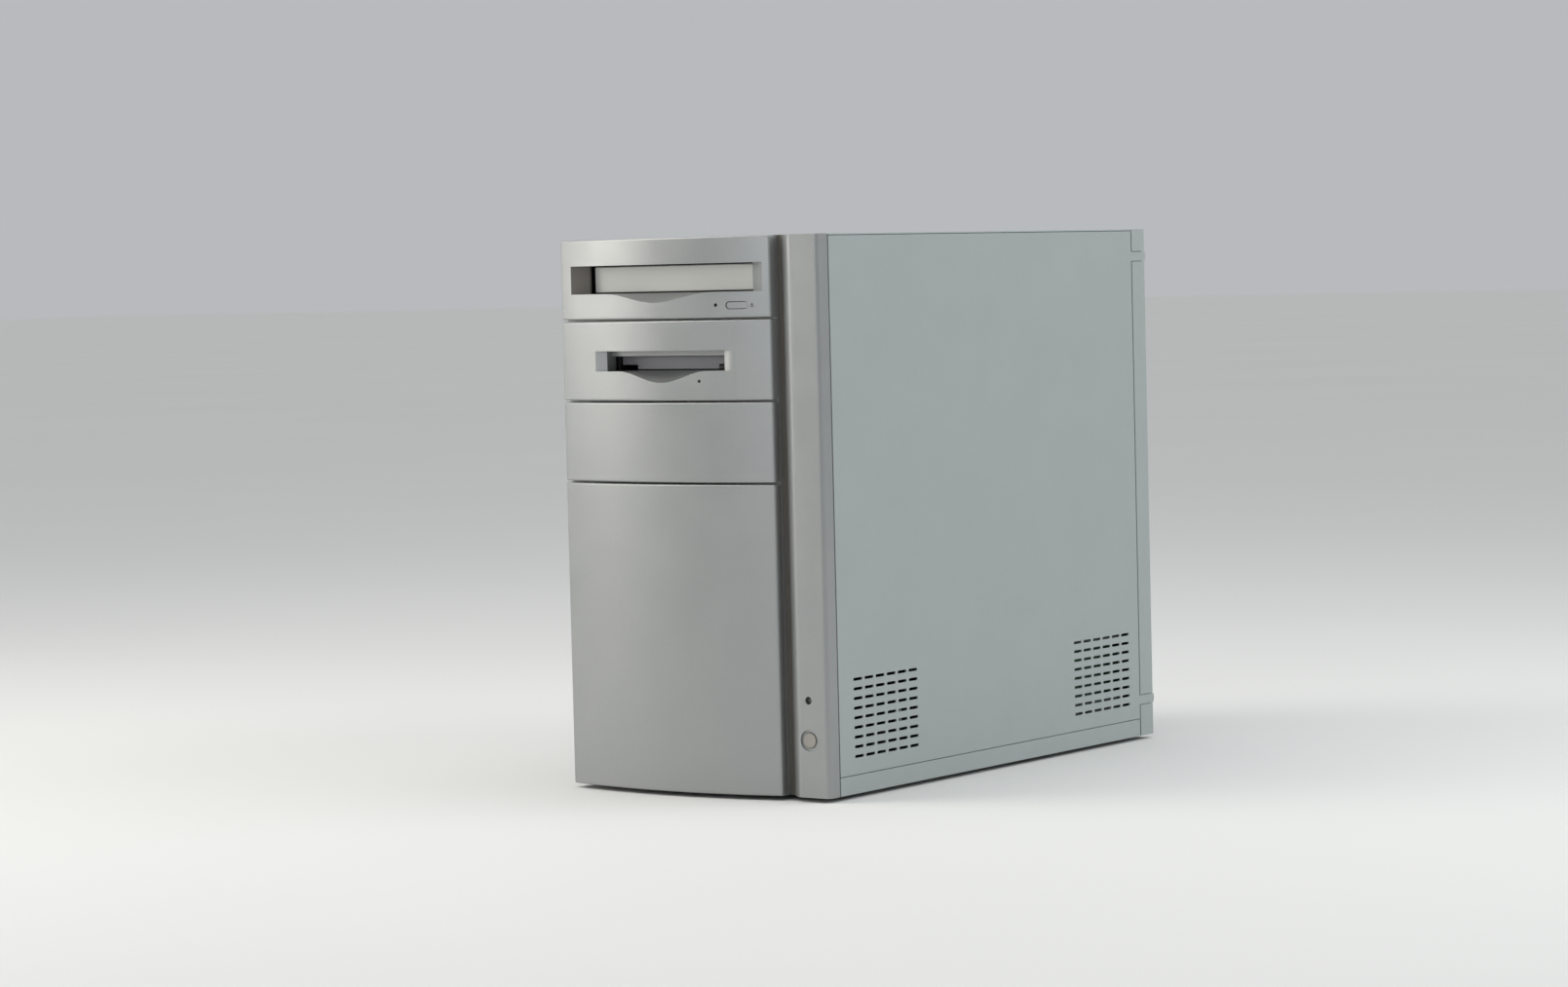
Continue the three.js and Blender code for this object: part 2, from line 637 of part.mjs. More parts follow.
function motherboardTray() {
  const { front: start, low, high } = BOARD_TRAY;
  const sheet = block(TRAY_SHEET_X, TRAY_SHEET_X + SHEET, start, REAR_INNER - GAP, low, high);
  const air = block(TRAY_SHEET_X - 1, TRAY_SHEET_X + SHEET + 1, AIR_START, VENT_REAR_END, 30, 72);
  const posts = STANDOFF_PLACES.map((place) =>
    bar("x", 3, TRAY_SHEET_X - STANDOFF + GAP, TRAY_SHEET_X + 0.5, place, 8),
  );
  return join(cut(sheet, air), ...posts);
}

const CAGE_HALF = DRIVE_WIDTH / 2 + 1;
const LEDGE = 3.5;

// A sheet-metal cage: two sides with ledges for the drives, on a floor.
function cage(halfWidth, length, low, high, ledges) {
  const start = CAGE_START;
  const side = (s) => {
    const inner = BAY_X + s * halfWidth;
    const outer = inner + s * SHEET;
    const wall = block(Math.min(inner, outer), Math.max(inner, outer), start, start + length, low, high);
    const shelves = ledges.map((z) => {
      const tip = inner - s * LEDGE;
      return block(
        Math.min(tip, outer),
        Math.max(tip, outer),
        start + 4,
        start + length - 20,
        z - SHEET - GAP,
        z - GAP,
      );
    });
    return join(wall, ...shelves);
  };
  const floor = block(
    BAY_X - halfWidth - SHEET,
    BAY_X + halfWidth + SHEET,
    start,
    start + length,
    low,
    low + SHEET,
  );
  return join(side(-1), side(1), floor);
}

// A sheet-metal side panel with folded edges, for the side given. Each has a field of vent slots at
// the front, and the right one has a second field at the rear, over the opening in the board's tray.
function sidePanel(side) {
  const outer = HALF;
  const low = RAIL_HEIGHT + 0.5;
  const high = HEIGHT - SHEET - GAP;
  const start = PANEL_START;
  const shell = cut(
    block(outer - SHEET - HEM, outer, start, PANEL_END, low, high),
    block(
      outer - SHEET - HEM - 1,
      outer - SHEET,
      start + SHEET,
      PANEL_END - SHEET,
      low + SHEET,
      high - SHEET,
    ),
  );
  const firstRear = VENT_REAR_END - (VENT.columns - 1) * VENT.pitchY - VENT.length;
  const starts = side > 0 ? [VENT_FRONT_START, firstRear] : [VENT_FRONT_START];
  const slots = starts.flatMap((first) =>
    Array.from({ length: VENT.columns * VENT.rows }, (_, i) => {
      const y = first + (i % VENT.columns) * VENT.pitchY;
      const z = VENT.low + Math.floor(i / VENT.columns) * VENT.pitchZ;
      return block(
        outer - SHEET - 1,
        outer + 1,
        y,
        y + VENT.length,
        z - VENT.height / 2,
        z + VENT.height / 2,
      );
    }),
  );
  const tabs = TAB.lows.flatMap((z) => [
    block(outer - SHEET, outer, PANEL_END - 2, DEPTH + GAP + SHEET, z, z + TAB.width),
    block(outer - TAB.reach, outer, DEPTH + GAP, DEPTH + GAP + SHEET, z, z + TAB.width),
  ]);
  const tabSlots = TAB.lows.map((z) => {
    const middle = z + TAB.width / 2;
    const start = outer - TAB.reach - 1;
    return block(
      start,
      start + 1 + TAB_SLOT.reach,
      DEPTH,
      DEPTH + 3,
      middle - TAB_SLOT.width / 2,
      middle + TAB_SLOT.width / 2,
    );
  });
  const right = cut(join(shell, ...tabs), ...slots, ...tabSlots);
  return side > 0 ? right : right.mirror([1, 0, 0]);
}

const chassis = assembly(
  piece("bottom_pan", bottomPan(), FINISH.paintedSteel),
  piece("rear_panel", rearPanel(), FINISH.paintedSteel),
  piece("top_cover", topCover(), FINISH.paintedSteel),
  piece("front_chassis_plate", frontPlate(), FINISH.zincSteel),
  piece("motherboard_tray", motherboardTray(), FINISH.zincSteel),
  piece("left_side_panel", sidePanel(-1), FINISH.paintedSteel),
  piece("right_side_panel", sidePanel(1), FINISH.paintedSteel),
  piece(
    "drive_cage",
    cage(
      CAGE_HALF,
      CAGE_LENGTH,
      LOWER_TOP + 1,
      HEIGHT - SHEET - 2,
      [OPTICAL_LOW, FLOPPY_LOW - 9, bayLow(2) + 5],
    ),
    FINISH.zincSteel,
  ),
  piece(
    "hard_drive_cage",
    cage(SMALL_DRIVE.width / 2 + 1, 150, LOWER_TOP - 45, LOWER_TOP + 1 - GAP, [HARD_DRIVE_LOW]),
    FINISH.zincSteel,
  ),
  piece("speaker", speaker(), FINISH.blackPlastic),
  ...screwPlaces.map(([x, z], i) => piece("cover_screw_" + (i + 1), coverScrew(x, z), FINISH.zincSteel)),
  ...footPlaces.map(
    ([x, y], i) => piece(
      ["front_left", "front_right", "rear_left", "rear_right"][i] + "_foot",
      foot(x, y),
      FINISH.rubber,
    ),
  ),
);

// ---- Drives --------------------------------------------------------------------------------

// The optical drive, built with its own origin at the middle of its front edge's underside.
function opticalDrive() {
  const half = DRIVE_WIDTH / 2;
  const trayLow = TRAY_MID_Z - OPTICAL_LOW - 6.2;
  const trayHigh = trayLow + 11;
  const trayHalf = 63;
  const body = 6;
  const housing = cut(
    block(-half, half, body, DRIVE_LENGTH, 0, DRIVE_HEIGHT),
    block(-half + SHEET, half - SHEET, body - 1, DRIVE_LENGTH - SHEET, SHEET, DRIVE_HEIGHT - SHEET),
    block(-40, 34, DRIVE_LENGTH - 3, DRIVE_LENGTH + 1, 6, 18),
  );
  const deck = block(-half + 0.5, half - 0.5, 30, 165, trayLow - 11, trayLow - 9 - GAP);
  const mask = cut(
    block(-half, half, 1.2, body + 0.5, 0, DRIVE_HEIGHT),
    block(-trayHalf - 0.8, trayHalf + 0.8, 0, body + 1, trayLow - 0.8, trayHigh + 0.8),
    block(EJECT.x - BAY_X - 5, EJECT.x - BAY_X + 5, 0, 5, 3, 7.5),
  );
  const wellRadius = 60.5;
  const wellY = body + 4 + wellRadius;
  const tray = cut(
    block(-trayHalf, trayHalf, 1.2, body + 150, trayLow, trayHigh),
    bar("z", wellRadius, trayHigh - 2.5, trayHigh + 1, [0, wellY], 36),
    block(-trayHalf + 5, trayHalf - 5, body + 2, body + 148, trayLow - 1, trayHigh - 4.5),
    block(-16, 16, wellY - 18, body + 146, trayLow - 1, trayHigh + 1),
  );
  const cap = block(
    -TRAY_FRONT.width / 2, TRAY_FRONT.width / 2, 1.2 - GAP - TRAY_FRONT.thickness, 1.2 - GAP,
    TRAY_MID_Z - OPTICAL_LOW - TRAY_FRONT.height / 2, TRAY_MID_Z - OPTICAL_LOW + TRAY_FRONT.height / 2,
  );
  const spindle = join(
    bar("z", 15, trayLow - 6, trayLow - 2.5, [0, wellY], 20),
    bar("z", 7, trayLow - 9, trayLow - 1, [0, wellY], 16),
  );
  const sled = block(-14, 14, wellY + 22, wellY + 44, trayLow - 9, trayLow - 3);
  return assembly(
    piece("optical_drive", join(housing, deck, mask), FINISH.zincSteel),
    piece("disc_tray", tray, FINISH.blackPlastic),
    piece("tray_front", cap, FINISH.trayPlastic),
    piece("disc_spindle", spindle, FINISH.blackPlastic),
    piece("laser_sled", sled, FINISH.darkPlastic),
  );
}

const FLAP = { width: 92, thickness: 1.2, y: 4.4 };
const NOTCH = { width: 12.5, height: 3 };

// The floppy drive, with its origin at the middle of its front edge's underside.
function floppyDrive() {
  const half = SMALL_DRIVE.width / 2;
  const slotLow = FLOPPY_SLOT.low - FLOPPY_LOW + 0.7;
  const slotHigh = FLOPPY_SLOT.high - FLOPPY_LOW - 0.4;
  const body = 9;
  const slotHalf = FLAP.width / 2 + 0.5;
  const housing = cut(
    block(-half, half, body, SMALL_DRIVE.length, 0, SMALL_DRIVE.height),
    block(
      -half + SHEET,
      half - SHEET,
      body - 1,
      SMALL_DRIVE.length - SHEET,
      SHEET,
      SMALL_DRIVE.height - SHEET,
    ),
    block(-24, 24, SMALL_DRIVE.length - 3, SMALL_DRIVE.length + 1, 4, 12),
  );
  const mask = cut(
    block(-half, half, 2, body + 0.5, 0, SMALL_DRIVE.height),
    block(-slotHalf, slotHalf, 1, body + 1, slotLow - 0.4, slotHigh + 0.4),
  );
  const flapOutline = [
    [-FLAP.width / 2, slotHigh - slotLow],
    [-FLAP.width / 2, NOTCH.height],
    [-FLAP.width / 2 + NOTCH.width, NOTCH.height],
    [-FLAP.width / 2 + NOTCH.width, 0],
    [FLAP.width / 2 - NOTCH.width, 0],
    [FLAP.width / 2 - NOTCH.width, NOTCH.height],
    [FLAP.width / 2, NOTCH.height],
    [FLAP.width / 2, slotHigh - slotLow],
  ];
  const flap = prism("y", flapOutline, FLAP.y, FLAP.y + FLAP.thickness).translate([0, 0, slotLow]);
  const right = FLAP.width / 2;
  const button = block(
    right - NOTCH.width + 0.5,
    right,
    3,
    body + 6,
    slotLow,
    slotLow + NOTCH.height - 0.5,
  );
  return assembly(
    piece("floppy_drive", join(housing, mask), FINISH.zincSteel),
    piece("floppy_flap", flap, FINISH.darkPlastic),
    piece("floppy_eject_button", button, FINISH.blackPlastic),
  );
}

// Side brackets joined by a floor, which fit the narrow floppy drive into a full-width bay.
function floppyCarrier() {
  const inner = SMALL_DRIVE.width / 2 + GAP;
  const outer = DRIVE_WIDTH / 2 - 0.5;
  const low = -9;
  const length = 130;
  const rib = (s) => block(
    Math.min(s * inner, s * outer),
    Math.max(s * inner, s * outer),
    14,
    14 + length,
    low,
    low + 25,
  );
  const hollow = (s) => {
    const near = s * (inner + 2);
    const far = s * (outer - 2);
    return block(Math.min(near, far), Math.max(near, far), 12, 16 + length, low + 2, low + 26);
  };
  return cut(
    join(rib(-1), rib(1), block(-outer, outer, 14, 14 + length, low, low + 2)),
    hollow(-1),
    hollow(1),
  );
}

// The hard drive, with its origin at the middle of its front edge's underside.
function hardDrive() {
  const half = SMALL_DRIVE.width / 2;
  const casting = cut(
    block(-half, half, 0, SMALL_DRIVE.length, 3, 25),
    block(-half + 8, half - 8, 6, SMALL_DRIVE.length - 22, 23.6, 26),
    block(-half + 4, half - 4, SMALL_DRIVE.length - 8, SMALL_DRIVE.length + 1, 2, 9),
  );
  const circuit = join(
    block(-half + 2, half - 2, 10, SMALL_DRIVE.length - 1, 1.5, 3.1),
    block(-40, 20, SMALL_DRIVE.length - 7, SMALL_DRIVE.length + 0.5, 2.2, 8.5),
  );
  return piece("hard_drive", join(casting, circuit), FINISH.aluminium);
}

const optical = opticalDrive();
optical.position.set(BAY_X, TRAY_FRONT.face + TRAY_FRONT.thickness + GAP - 1.2, OPTICAL_LOW);
const floppy = floppyDrive();
floppy.add(piece("floppy_carrier", floppyCarrier(), FINISH.blackPlastic));
floppy.position.set(BAY_X, PANEL_BACK + 0.3, FLOPPY_LOW);
const disk = hardDrive();
disk.position.set(BAY_X, CAGE_START + 3, HARD_DRIVE_LOW - 0.5);
const drives = assembly(optical, floppy, disk);

// ---- Fans ----------------------------------------------------------------------------------

// A square fan frame whose bore runs along Y, centred on the origin, with its face at Y = 0.
function fanFrame(size, depth, bore) {
  const half = size / 2;
  const ring = cut(block(-half, half, 0, depth, -half, half), bar("y", bore, -1, depth + 1, [0, 0], 28));
  const stator = bar("y", bore * 0.42, 0, 2, [0, 0], 20);
  const arms = [0, 1].map(
    (turn) => block(-bore - 1, bore + 1, 0, 2, -1.5, 1.5).rotate([0, 45 + turn * 90, 0]),
  );
  return join(ring, stator, ...arms);
}

// The rotor that turns in it: a hub with pitched blades.
function fanRotor(bore, depth, blades) {
  const hub = bar("y", bore * 0.42, 2.6, depth - 1, [0, 0], 20);
  const reach = bore - 1;
  const made = Array.from({ length: blades }, (_, i) => {
    const blade = block(bore * 0.35, reach, -0.7, 0.7, -bore * 0.24, bore * 0.24);
    return blade.rotate([32, 0, 0]).translate([0, depth / 2 + 0.8, 0]).rotate([0, (360 / blades) * i, 0]);
  });
  const limits = bar("y", reach, 3, depth - 1.5, [0, 0], 28);
  return join(hub, ...made.map((blade) => blade.intersect(limits)));
}

// ---- Power supply --------------------------------------------------------------------------

const PSU_FAN = { x: 48, z: 43 };
const INLET = { x: 120, z: 60, width: 27, height: 20 };
const ROCKER = { x: 120, z: 26, width: 13, height: 19 };
const CAVITY = { width: 23, height: 16, depth: 18 };

// The power supply, with its origin at its lower left front corner.
function powerSupply() {
  const { width, height, length } = PSU;
  const coverEnd = length - SHEET - GAP;
  const coverLow = SHEET + GAP;
  const inletHole = [INLET.x, INLET.z, INLET.width, INLET.height];
  const inletFit = [INLET.x, INLET.z, INLET.width - 2 * GAP, INLET.height - 2 * GAP];
  const base = cut(
    join(block(0, width, 0, length, 0, SHEET), block(0, width, length - SHEET, length, 0, height)),
    fanGuardCut(PSU_FAN.x, PSU_FAN.z, length - SHEET - 1, length + 1),
    through(...inletHole, length - 3, length + 1),
    through(ROCKER.x, ROCKER.z, ROCKER.width, ROCKER.height, length - 3, length + 1),
  );
  const cover = cut(
    block(0, width, 0, coverEnd, coverLow, height),
    block(SHEET, width - SHEET, SHEET, coverEnd + 1, coverLow - 1, height - SHEET),
    bar("y", 8, -1, SHEET + 1, [width - 20, 24], 16),
  );
  const circuit = join(
    block(8, width - 8, 6, length - 36, 8, 9.6),
    block(20, 52, 20, 52, 9, 42),
    block(70, 76, 14, 92, 9, 60),
    block(100, 106, 14, 92, 9, 60),
    bar("z", 11, 9, 40, [124, 40], 16),
    bar("z", 11, 9, 40, [124, 66], 16),
  );
  const inletBody = cut(
    join(
      through(...inletFit, length - 22, length + 1),
      through(INLET.x, INLET.z, INLET.width + 4, INLET.height + 2, length + GAP, length + 2),
    ),
    through(INLET.x, INLET.z, CAVITY.width, CAVITY.height, length + 2 - CAVITY.depth, length + 3),
  );
  const tip = ROCKER.height / 2 - 1;
  const rockerSide = [
    [length - 6, -5],
    [length + 1.4, -tip],
    [length + 0.2, 0],
    [length + 3, tip],
    [length - 5, tip - 1],
  ];
  const rockerHalf = ROCKER.width / 2 - 1;
  const rocker = prism("x", rockerSide, ROCKER.x - rockerHalf, ROCKER.x + rockerHalf);
  const fan = assembly(
    piece("psu_fan_frame", fanFrame(FAN.size, FAN.depth, FAN.bore), FINISH.blackPlastic),
    piece("psu_fan_rotor", fanRotor(FAN.bore, FAN.depth, 7), FINISH.blackPlastic),
  );
  fan.position.set(PSU_FAN.x, length - SHEET - GAP - FAN.depth, PSU_FAN.z);
  return assembly(
    piece("psu_base", base, FINISH.zincSteel),
    piece("psu_cover", cover, FINISH.zincSteel),
    piece("psu_circuit_board", circuit, FINISH.boardGreen),
    piece("power_inlet", inletBody, FINISH.blackPlastic),
    piece("power_rocker_switch", rocker.translate([0, 0, ROCKER.z]), FINISH.blackPlastic),
    fan,
  );
}

const supply = powerSupply();
supply.position.set(PSU_LEFT, PSU_FRONT, PSU_LOW);

const caseFan = assembly(
  piece("case_fan_frame", fanFrame(FAN.size, FAN.depth, FAN.bore), FINISH.blackPlastic),
  piece("case_fan_rotor", fanRotor(FAN.bore, FAN.depth, 7), FINISH.blackPlastic),
);
caseFan.position.set(CASE_FAN.x, REAR_INNER - GAP - FAN.depth, CASE_FAN.z);

// ---- Motherboard and what plugs into it ----------------------------------------------------

// On the board, u runs forward from its back edge, v up from its lower edge and h off its face.
const onBoard = (u0, u1, v0, v1, h0, h1) =>
  block(
    BOARD_FACE - h1,
    BOARD_FACE - h0,
    BOARD_BACK_Y - u1,
    BOARD_BACK_Y - u0,
    BOARD.low + v0,
    BOARD.low + v1,
  );

const SOCKET = { u: 78, v: 178, size: 50 };
const MEMORY_U = [150, 162]; // sockets; the first holds the module
const IDE = { u: 176, v0: 60, v1: 116 };
const FLOPPY_HEADER = { u: 187, v0: 150, v1: 196 };
const POWER_SOCKET = { u: 140, v0: 196, v1: 240 };

function motherboard() {
  const board = onBoard(0, BOARD.size, 0, BOARD.size, -BOARD.thickness, 0);
  const slots = [0, 1, 2, 3].map((i) => {
    const v = slotZ(i) - BOARD.low - 1.5;
    const [from, to] = i ? [40, 125] : [56, 128];
    return onBoard(from, to, v - 4, v + 4, -0.5, 11);
  });
  const dimms = MEMORY_U.map((u) =>
    cut(onBoard(u - 3, u + 3, 96, 236, -0.5, 9), onBoard(u - 0.9, u + 0.9, 98.5, 233.5, 4, 10)),
  );
  const cardSlots = slots.map((slot, i) => {
    const v = slotZ(i) - BOARD.low - 1.5;
    return cut(slot, onBoard(i ? 42 : 58, i ? 123 : 126, v - 1.1, v + 1.1, 4, 12));
  });
  return join(
    board,
    ...cardSlots,
    ...dimms,
    onBoard(SOCKET.u - 25, SOCKET.u + 25, SOCKET.v - 25, SOCKET.v + 25, -0.5, 3),
    onBoard(96, 126, 100, 130, -0.5, 2.5),
    onBoard(150, 176, 20, 46, -0.5, 2.5),
    onBoard(IDE.u - 4, IDE.u + 4, IDE.v0, IDE.v1, -0.5, 9),
    onBoard(FLOPPY_HEADER.u - 4, FLOPPY_HEADER.u + 4, FLOPPY_HEADER.v0, FLOPPY_HEADER.v1, -0.5, 9),
    bar("x", 10, BOARD_FACE - 4, BOARD_FACE + 0.5, [BOARD_BACK_Y - 214, BOARD.low + 40], 16),
    ...[150, 166, 182].map((v) =>
      bar("x", 4, BOARD_FACE - 14, BOARD_FACE + 0.5, [BOARD_BACK_Y - 116, BOARD.low + v], 10),
    ),
  );
}

function ioPorts() {
  const reach = 12;
  const low = IO.z0 - BOARD.low;
  const port = (v0, v1, h) => onBoard(-2, reach, low + v0, low + v1, GAP, h);
  const rail = onBoard(0, reach, low + 4, low + 150, GAP, 3);
  return join(
    rail,
    port(140, 153, 26),
    port(122, 136, 16),
    port(84, 118, 12),
    port(46, 80, 12),
    port(10, 40, 12),
  );
}

function ioShield() {
  const y = REAR_INNER - GAP;
  const low = IO.z0;
  const plate = block(IO.x0 - 2, IO.x1 + 0.8, y - 0.6, y, IO.z0 - 2, IO.z1 + 2);
  const x1 = BOARD_FACE + 0.2;
  const hole = (v0, v1, h) => block(
    BOARD_FACE - h - 0.6,
    x1,
    y - 2,
    y + 1,
    low + v0 - 0.6,
    low + v1 + 0.6,
  );
  return cut(
    plate,
    hole(140, 153, 26),
    hole(122, 136, 16),
    hole(84, 118, 12),
    hole(46, 80, 12),
    hole(10, 40, 12),
  );
}

function heatsink() {
  const at = (u0, u1, v0, v1, h0, h1) => onBoard(
    SOCKET.u + u0,
    SOCKET.u + u1,
    SOCKET.v + v0,
    SOCKET.v + v1,
    h0,
    h1,
  );
  const fins = Array.from({ length: 13 }, (_, i) => at(-30, 30, -30 + i * 4.9, -28.8 + i * 4.9, 7, 34));
  return join(at(-30, 30, -30, 30, 3 + GAP, 8), ...fins);
}

const COOLER_FAN = { size: 60, depth: 12, bore: 28.5 };
const cooler = assembly(
  piece(
    "processor_fan_frame",
    fanFrame(COOLER_FAN.size, COOLER_FAN.depth, COOLER_FAN.bore),
    FINISH.blackPlastic,
  ),
  piece("processor_fan_rotor", fanRotor(COOLER_FAN.bore, COOLER_FAN.depth, 7), FINISH.blackPlastic),
);
cooler.rotation.z = -Math.PI / 2;
cooler.position.set(
  BOARD_FACE - 34 - GAP - COOLER_FAN.depth,
  BOARD_BACK_Y - SOCKET.u,
  BOARD.low + SOCKET.v,
);

function memoryModule(u) {
  const card = onBoard(u - 0.6, u + 0.6, 99.4, 232.6, 4 + GAP, 36);
  const chips = Array.from(
    { length: 8 },
    (_, i) => onBoard(u + 0.4, u + 1.7, 103 + i * 16.2, 112 + i * 16.2, 13, 31),
  );
  return join(card, ...chips);
}

// A steel bracket over a slot opening, with its turned-over end.
function bracket(index) {
  const y = REAR_INNER - GAP;
  const z = slotZ(index);
  return join(
    block(BRACKET_X0, BRACKET_X1, y - BRACKET.thickness, y, z - BRACKET.width / 2, z + BRACKET.width / 2),
    block(
      BRACKET_X0,
      BRACKET_X0 + BRACKET.thickness,
      y - 11,
      y,
      z - BRACKET.width / 2,
      z + BRACKET.width / 2,
    ),
  );
}

// An expansion card: bracket, board and chips, plugged into a slot.
function card(index, length, height, chips) {
  const z = slotZ(index) - 1.5;
  const v = z - BOARD.low;
  const foot = index ? [43, 122] : [59, 125];
  const sheet = join(
    onBoard(2.8, length, v - 0.8, v + 0.8, 13, height),
    onBoard(...foot, v - 0.8, v + 0.8, 4 + GAP, 14),
  );
  const parts = chips.map(([u, h, size, tall]) => onBoard(u, u + size, v - 0.8 - tall, v, h, h + size));
  return join(bracket(index), sheet, onBoard(-2.2, 12, v - 7, v, 20, 50), ...parts);
}

const boards = assembly(
  piece("motherboard", motherboard(), FINISH.boardGreen),
  piece("io_ports", ioPorts(), FINISH.connector),
  piece("io_shield", ioShield(), FINISH.zincSteel),
  piece("processor_heatsink", heatsink(), FINISH.aluminium),
  cooler,
  piece("memory_module", memoryModule(MEMORY_U[0]), FINISH.boardGreen),
  piece(
    "graphics_card",
    card(0, 150, 96, [[62, 36, 30, 7], [110, 30, 20, 2], [110, 60, 20, 2]]),
    FINISH.boardGreen,
  ),
  piece("sound_card", card(2, 130, 84, [[70, 40, 18, 2], [96, 56, 10, 2]]), FINISH.boardGreen),
  piece("slot_cover_upper", bracket(1), FINISH.zincSteel),
  piece("slot_cover_lower", bracket(3), FINISH.zincSteel),
);

// ---- Leads ---------------------------------------------------------------------------------

// A flat cable folded at a right angle: down behind the drives, then across to the board.
function foldedRibbon(x0, x1, y, thickness, top, corner, driveY, reachX) {
  const width = x1 - x0;
  const down = block(x0, x1, y, y + thickness, corner, top);
  const across = block(x0, reachX, y, y + thickness, corner, corner + width);
  const over = block(x0, x1, driveY, y + thickness, top - thickness, top);
  return join(down, across, over);
}

const RIBBON = 1.1;
const plugX = BOARD_FACE - 9 - GAP;

function ideRibbon() {
  const y = BOARD_BACK_Y - IDE.u - RIBBON / 2;
  const low = BOARD.low + IDE.v0 + 3;
  const opticalBack = optical.position.y + DRIVE_LENGTH + GAP;
  const body = foldedRibbon(
    BAY_X - 28,
    BAY_X + 22,
    y,
    RIBBON,
    OPTICAL_LOW + 13,
    low,
    opticalBack,
    plugX - 1,
  );
  const plug = block(plugX - 10, plugX, y - 2.5, y + 3.6, low - 2, low + 52);
  return join(body, plug);
}

function floppyRibbon() {
  const y = BOARD_BACK_Y - FLOPPY_HEADER.u - RIBBON / 2;
  const low = BOARD.low + FLOPPY_HEADER.v0 + 2;
  const driveBack = floppy.position.y + SMALL_DRIVE.length + GAP;
  const body = foldedRibbon(BAY_X - 22, BAY_X + 20, y, RIBBON, FLOPPY_LOW + 9, low, driveBack, plugX - 1);
  const plug = block(plugX - 9, plugX, y - 2.5, y + 3.6, low - 1, low + 43);
  return join(body, plug);
}

function powerHarness() {
  const plug = onBoard(
    POWER_SOCKET.u - 5,
    POWER_SOCKET.u + 5,
    POWER_SOCKET.v0,
    POWER_SOCKET.v1 - 2,
    GAP,
    18,
  );
  const start = [PSU_LEFT + PSU.width - 20, PSU_FRONT - GAP, PSU_LOW + 24];
  const end = [BOARD_FACE - 16, BOARD_BACK_Y - POWER_SOCKET.u, BOARD.low + POWER_SOCKET.v0 + 22];
  const lead = tube(
    [
      start,
      [start[0], start[1] - 10, start[2] - 1],
      [start[0] + 8, start[1] - 16, start[2] - 14],
      [end[0] - 22, end[1], end[2] + 4],
      [end[0] - 8, end[1], end[2]],
      end,
    ],
    6, 14,
  );
  return join(plug, lead);
}

const leads = assembly(
  piece("ide_ribbon", ideRibbon(), FINISH.ribbon),
  piece("floppy_ribbon", floppyRibbon(), FINISH.ribbon),
  piece("power_harness", powerHarness(), FINISH.blackPlastic),
);

// ---- The whole computer ---------------------------------------------------------------------

const computer = assembly(front, chassis, drives, supply, caseFan, boards, leads);
const REAR_Y = SCREW_HEAD_Y + SCREW.headLength; // the hindmost point
computer.position.set(0, -(FRONT_Y + REAR_Y) / 2, FOOT_HEIGHT);
export default computer;
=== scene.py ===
"""A mini-tower desktop computer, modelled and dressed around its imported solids.

Every solid is taken from the frame, its edges are rounded and its finish is applied. The small
things that the solids leave out, such as sockets, pins, capacitors and wires, are added here.
"""

from __future__ import annotations

import json
import logging
import math
from collections.abc import Callable, Iterable
from dataclasses import dataclass, field
from enum import Enum

import bmesh  # noqa: E402
import bpy  # noqa: E402
from mathutils import Matrix, Vector  # noqa: E402


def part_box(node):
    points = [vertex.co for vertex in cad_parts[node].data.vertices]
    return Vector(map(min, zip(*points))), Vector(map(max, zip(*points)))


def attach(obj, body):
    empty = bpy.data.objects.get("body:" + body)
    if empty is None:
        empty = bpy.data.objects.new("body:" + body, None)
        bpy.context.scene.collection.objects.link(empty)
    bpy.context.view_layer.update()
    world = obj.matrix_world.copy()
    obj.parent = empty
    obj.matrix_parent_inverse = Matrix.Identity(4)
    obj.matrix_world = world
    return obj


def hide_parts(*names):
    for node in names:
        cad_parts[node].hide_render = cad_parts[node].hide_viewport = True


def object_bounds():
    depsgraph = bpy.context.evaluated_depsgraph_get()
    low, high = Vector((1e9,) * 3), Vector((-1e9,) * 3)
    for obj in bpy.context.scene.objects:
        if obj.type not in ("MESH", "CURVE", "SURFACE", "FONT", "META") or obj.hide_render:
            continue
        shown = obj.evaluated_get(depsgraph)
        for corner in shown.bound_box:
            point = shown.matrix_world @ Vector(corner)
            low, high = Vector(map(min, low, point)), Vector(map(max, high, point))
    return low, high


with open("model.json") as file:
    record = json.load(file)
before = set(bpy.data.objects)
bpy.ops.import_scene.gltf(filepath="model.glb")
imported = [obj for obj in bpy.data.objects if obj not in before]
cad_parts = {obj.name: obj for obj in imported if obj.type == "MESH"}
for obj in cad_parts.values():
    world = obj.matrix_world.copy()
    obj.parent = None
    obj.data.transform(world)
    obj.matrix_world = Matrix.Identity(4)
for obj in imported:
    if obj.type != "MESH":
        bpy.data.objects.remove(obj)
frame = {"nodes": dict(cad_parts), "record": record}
CAD_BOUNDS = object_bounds()

log = logging.getLogger("tower")

Tree = bpy.types.NodeTree
Socket = bpy.types.NodeSocket
Mesh = bmesh.types.BMesh
Span = tuple[float, float]
Profile = list[Span]

MM = 0.001
SLOT_OF = {row["node"]: row["material_slot"] for row in frame["record"]["subparts"]}
BODY_OF = {
    node: body for body, nodes in frame["record"]["behaviour"]["bodies"].items() for node in nodes
}


class Axis(Enum):
    """The direction that a turned piece's axis runs in."""

    X = Matrix.Rotation(math.pi / 2, 4, "Y")
    Y = Matrix.Rotation(-math.pi / 2, 4, "X")
    Z = Matrix.Identity(4)


# ---- Finishes ----

NOISE_SPAN = (0.3, 0.7)  # where most of a noise pattern's values lie
HANDLED_SIZE = 0.6  # patches of uneven sheen, against those of uneven colour
HANDLED_SPREAD = 0.12  # how far the sheen differs, as a share of the roughness
BUMP_DEPTH = 0.25  # depth of a grain, as a share of its width


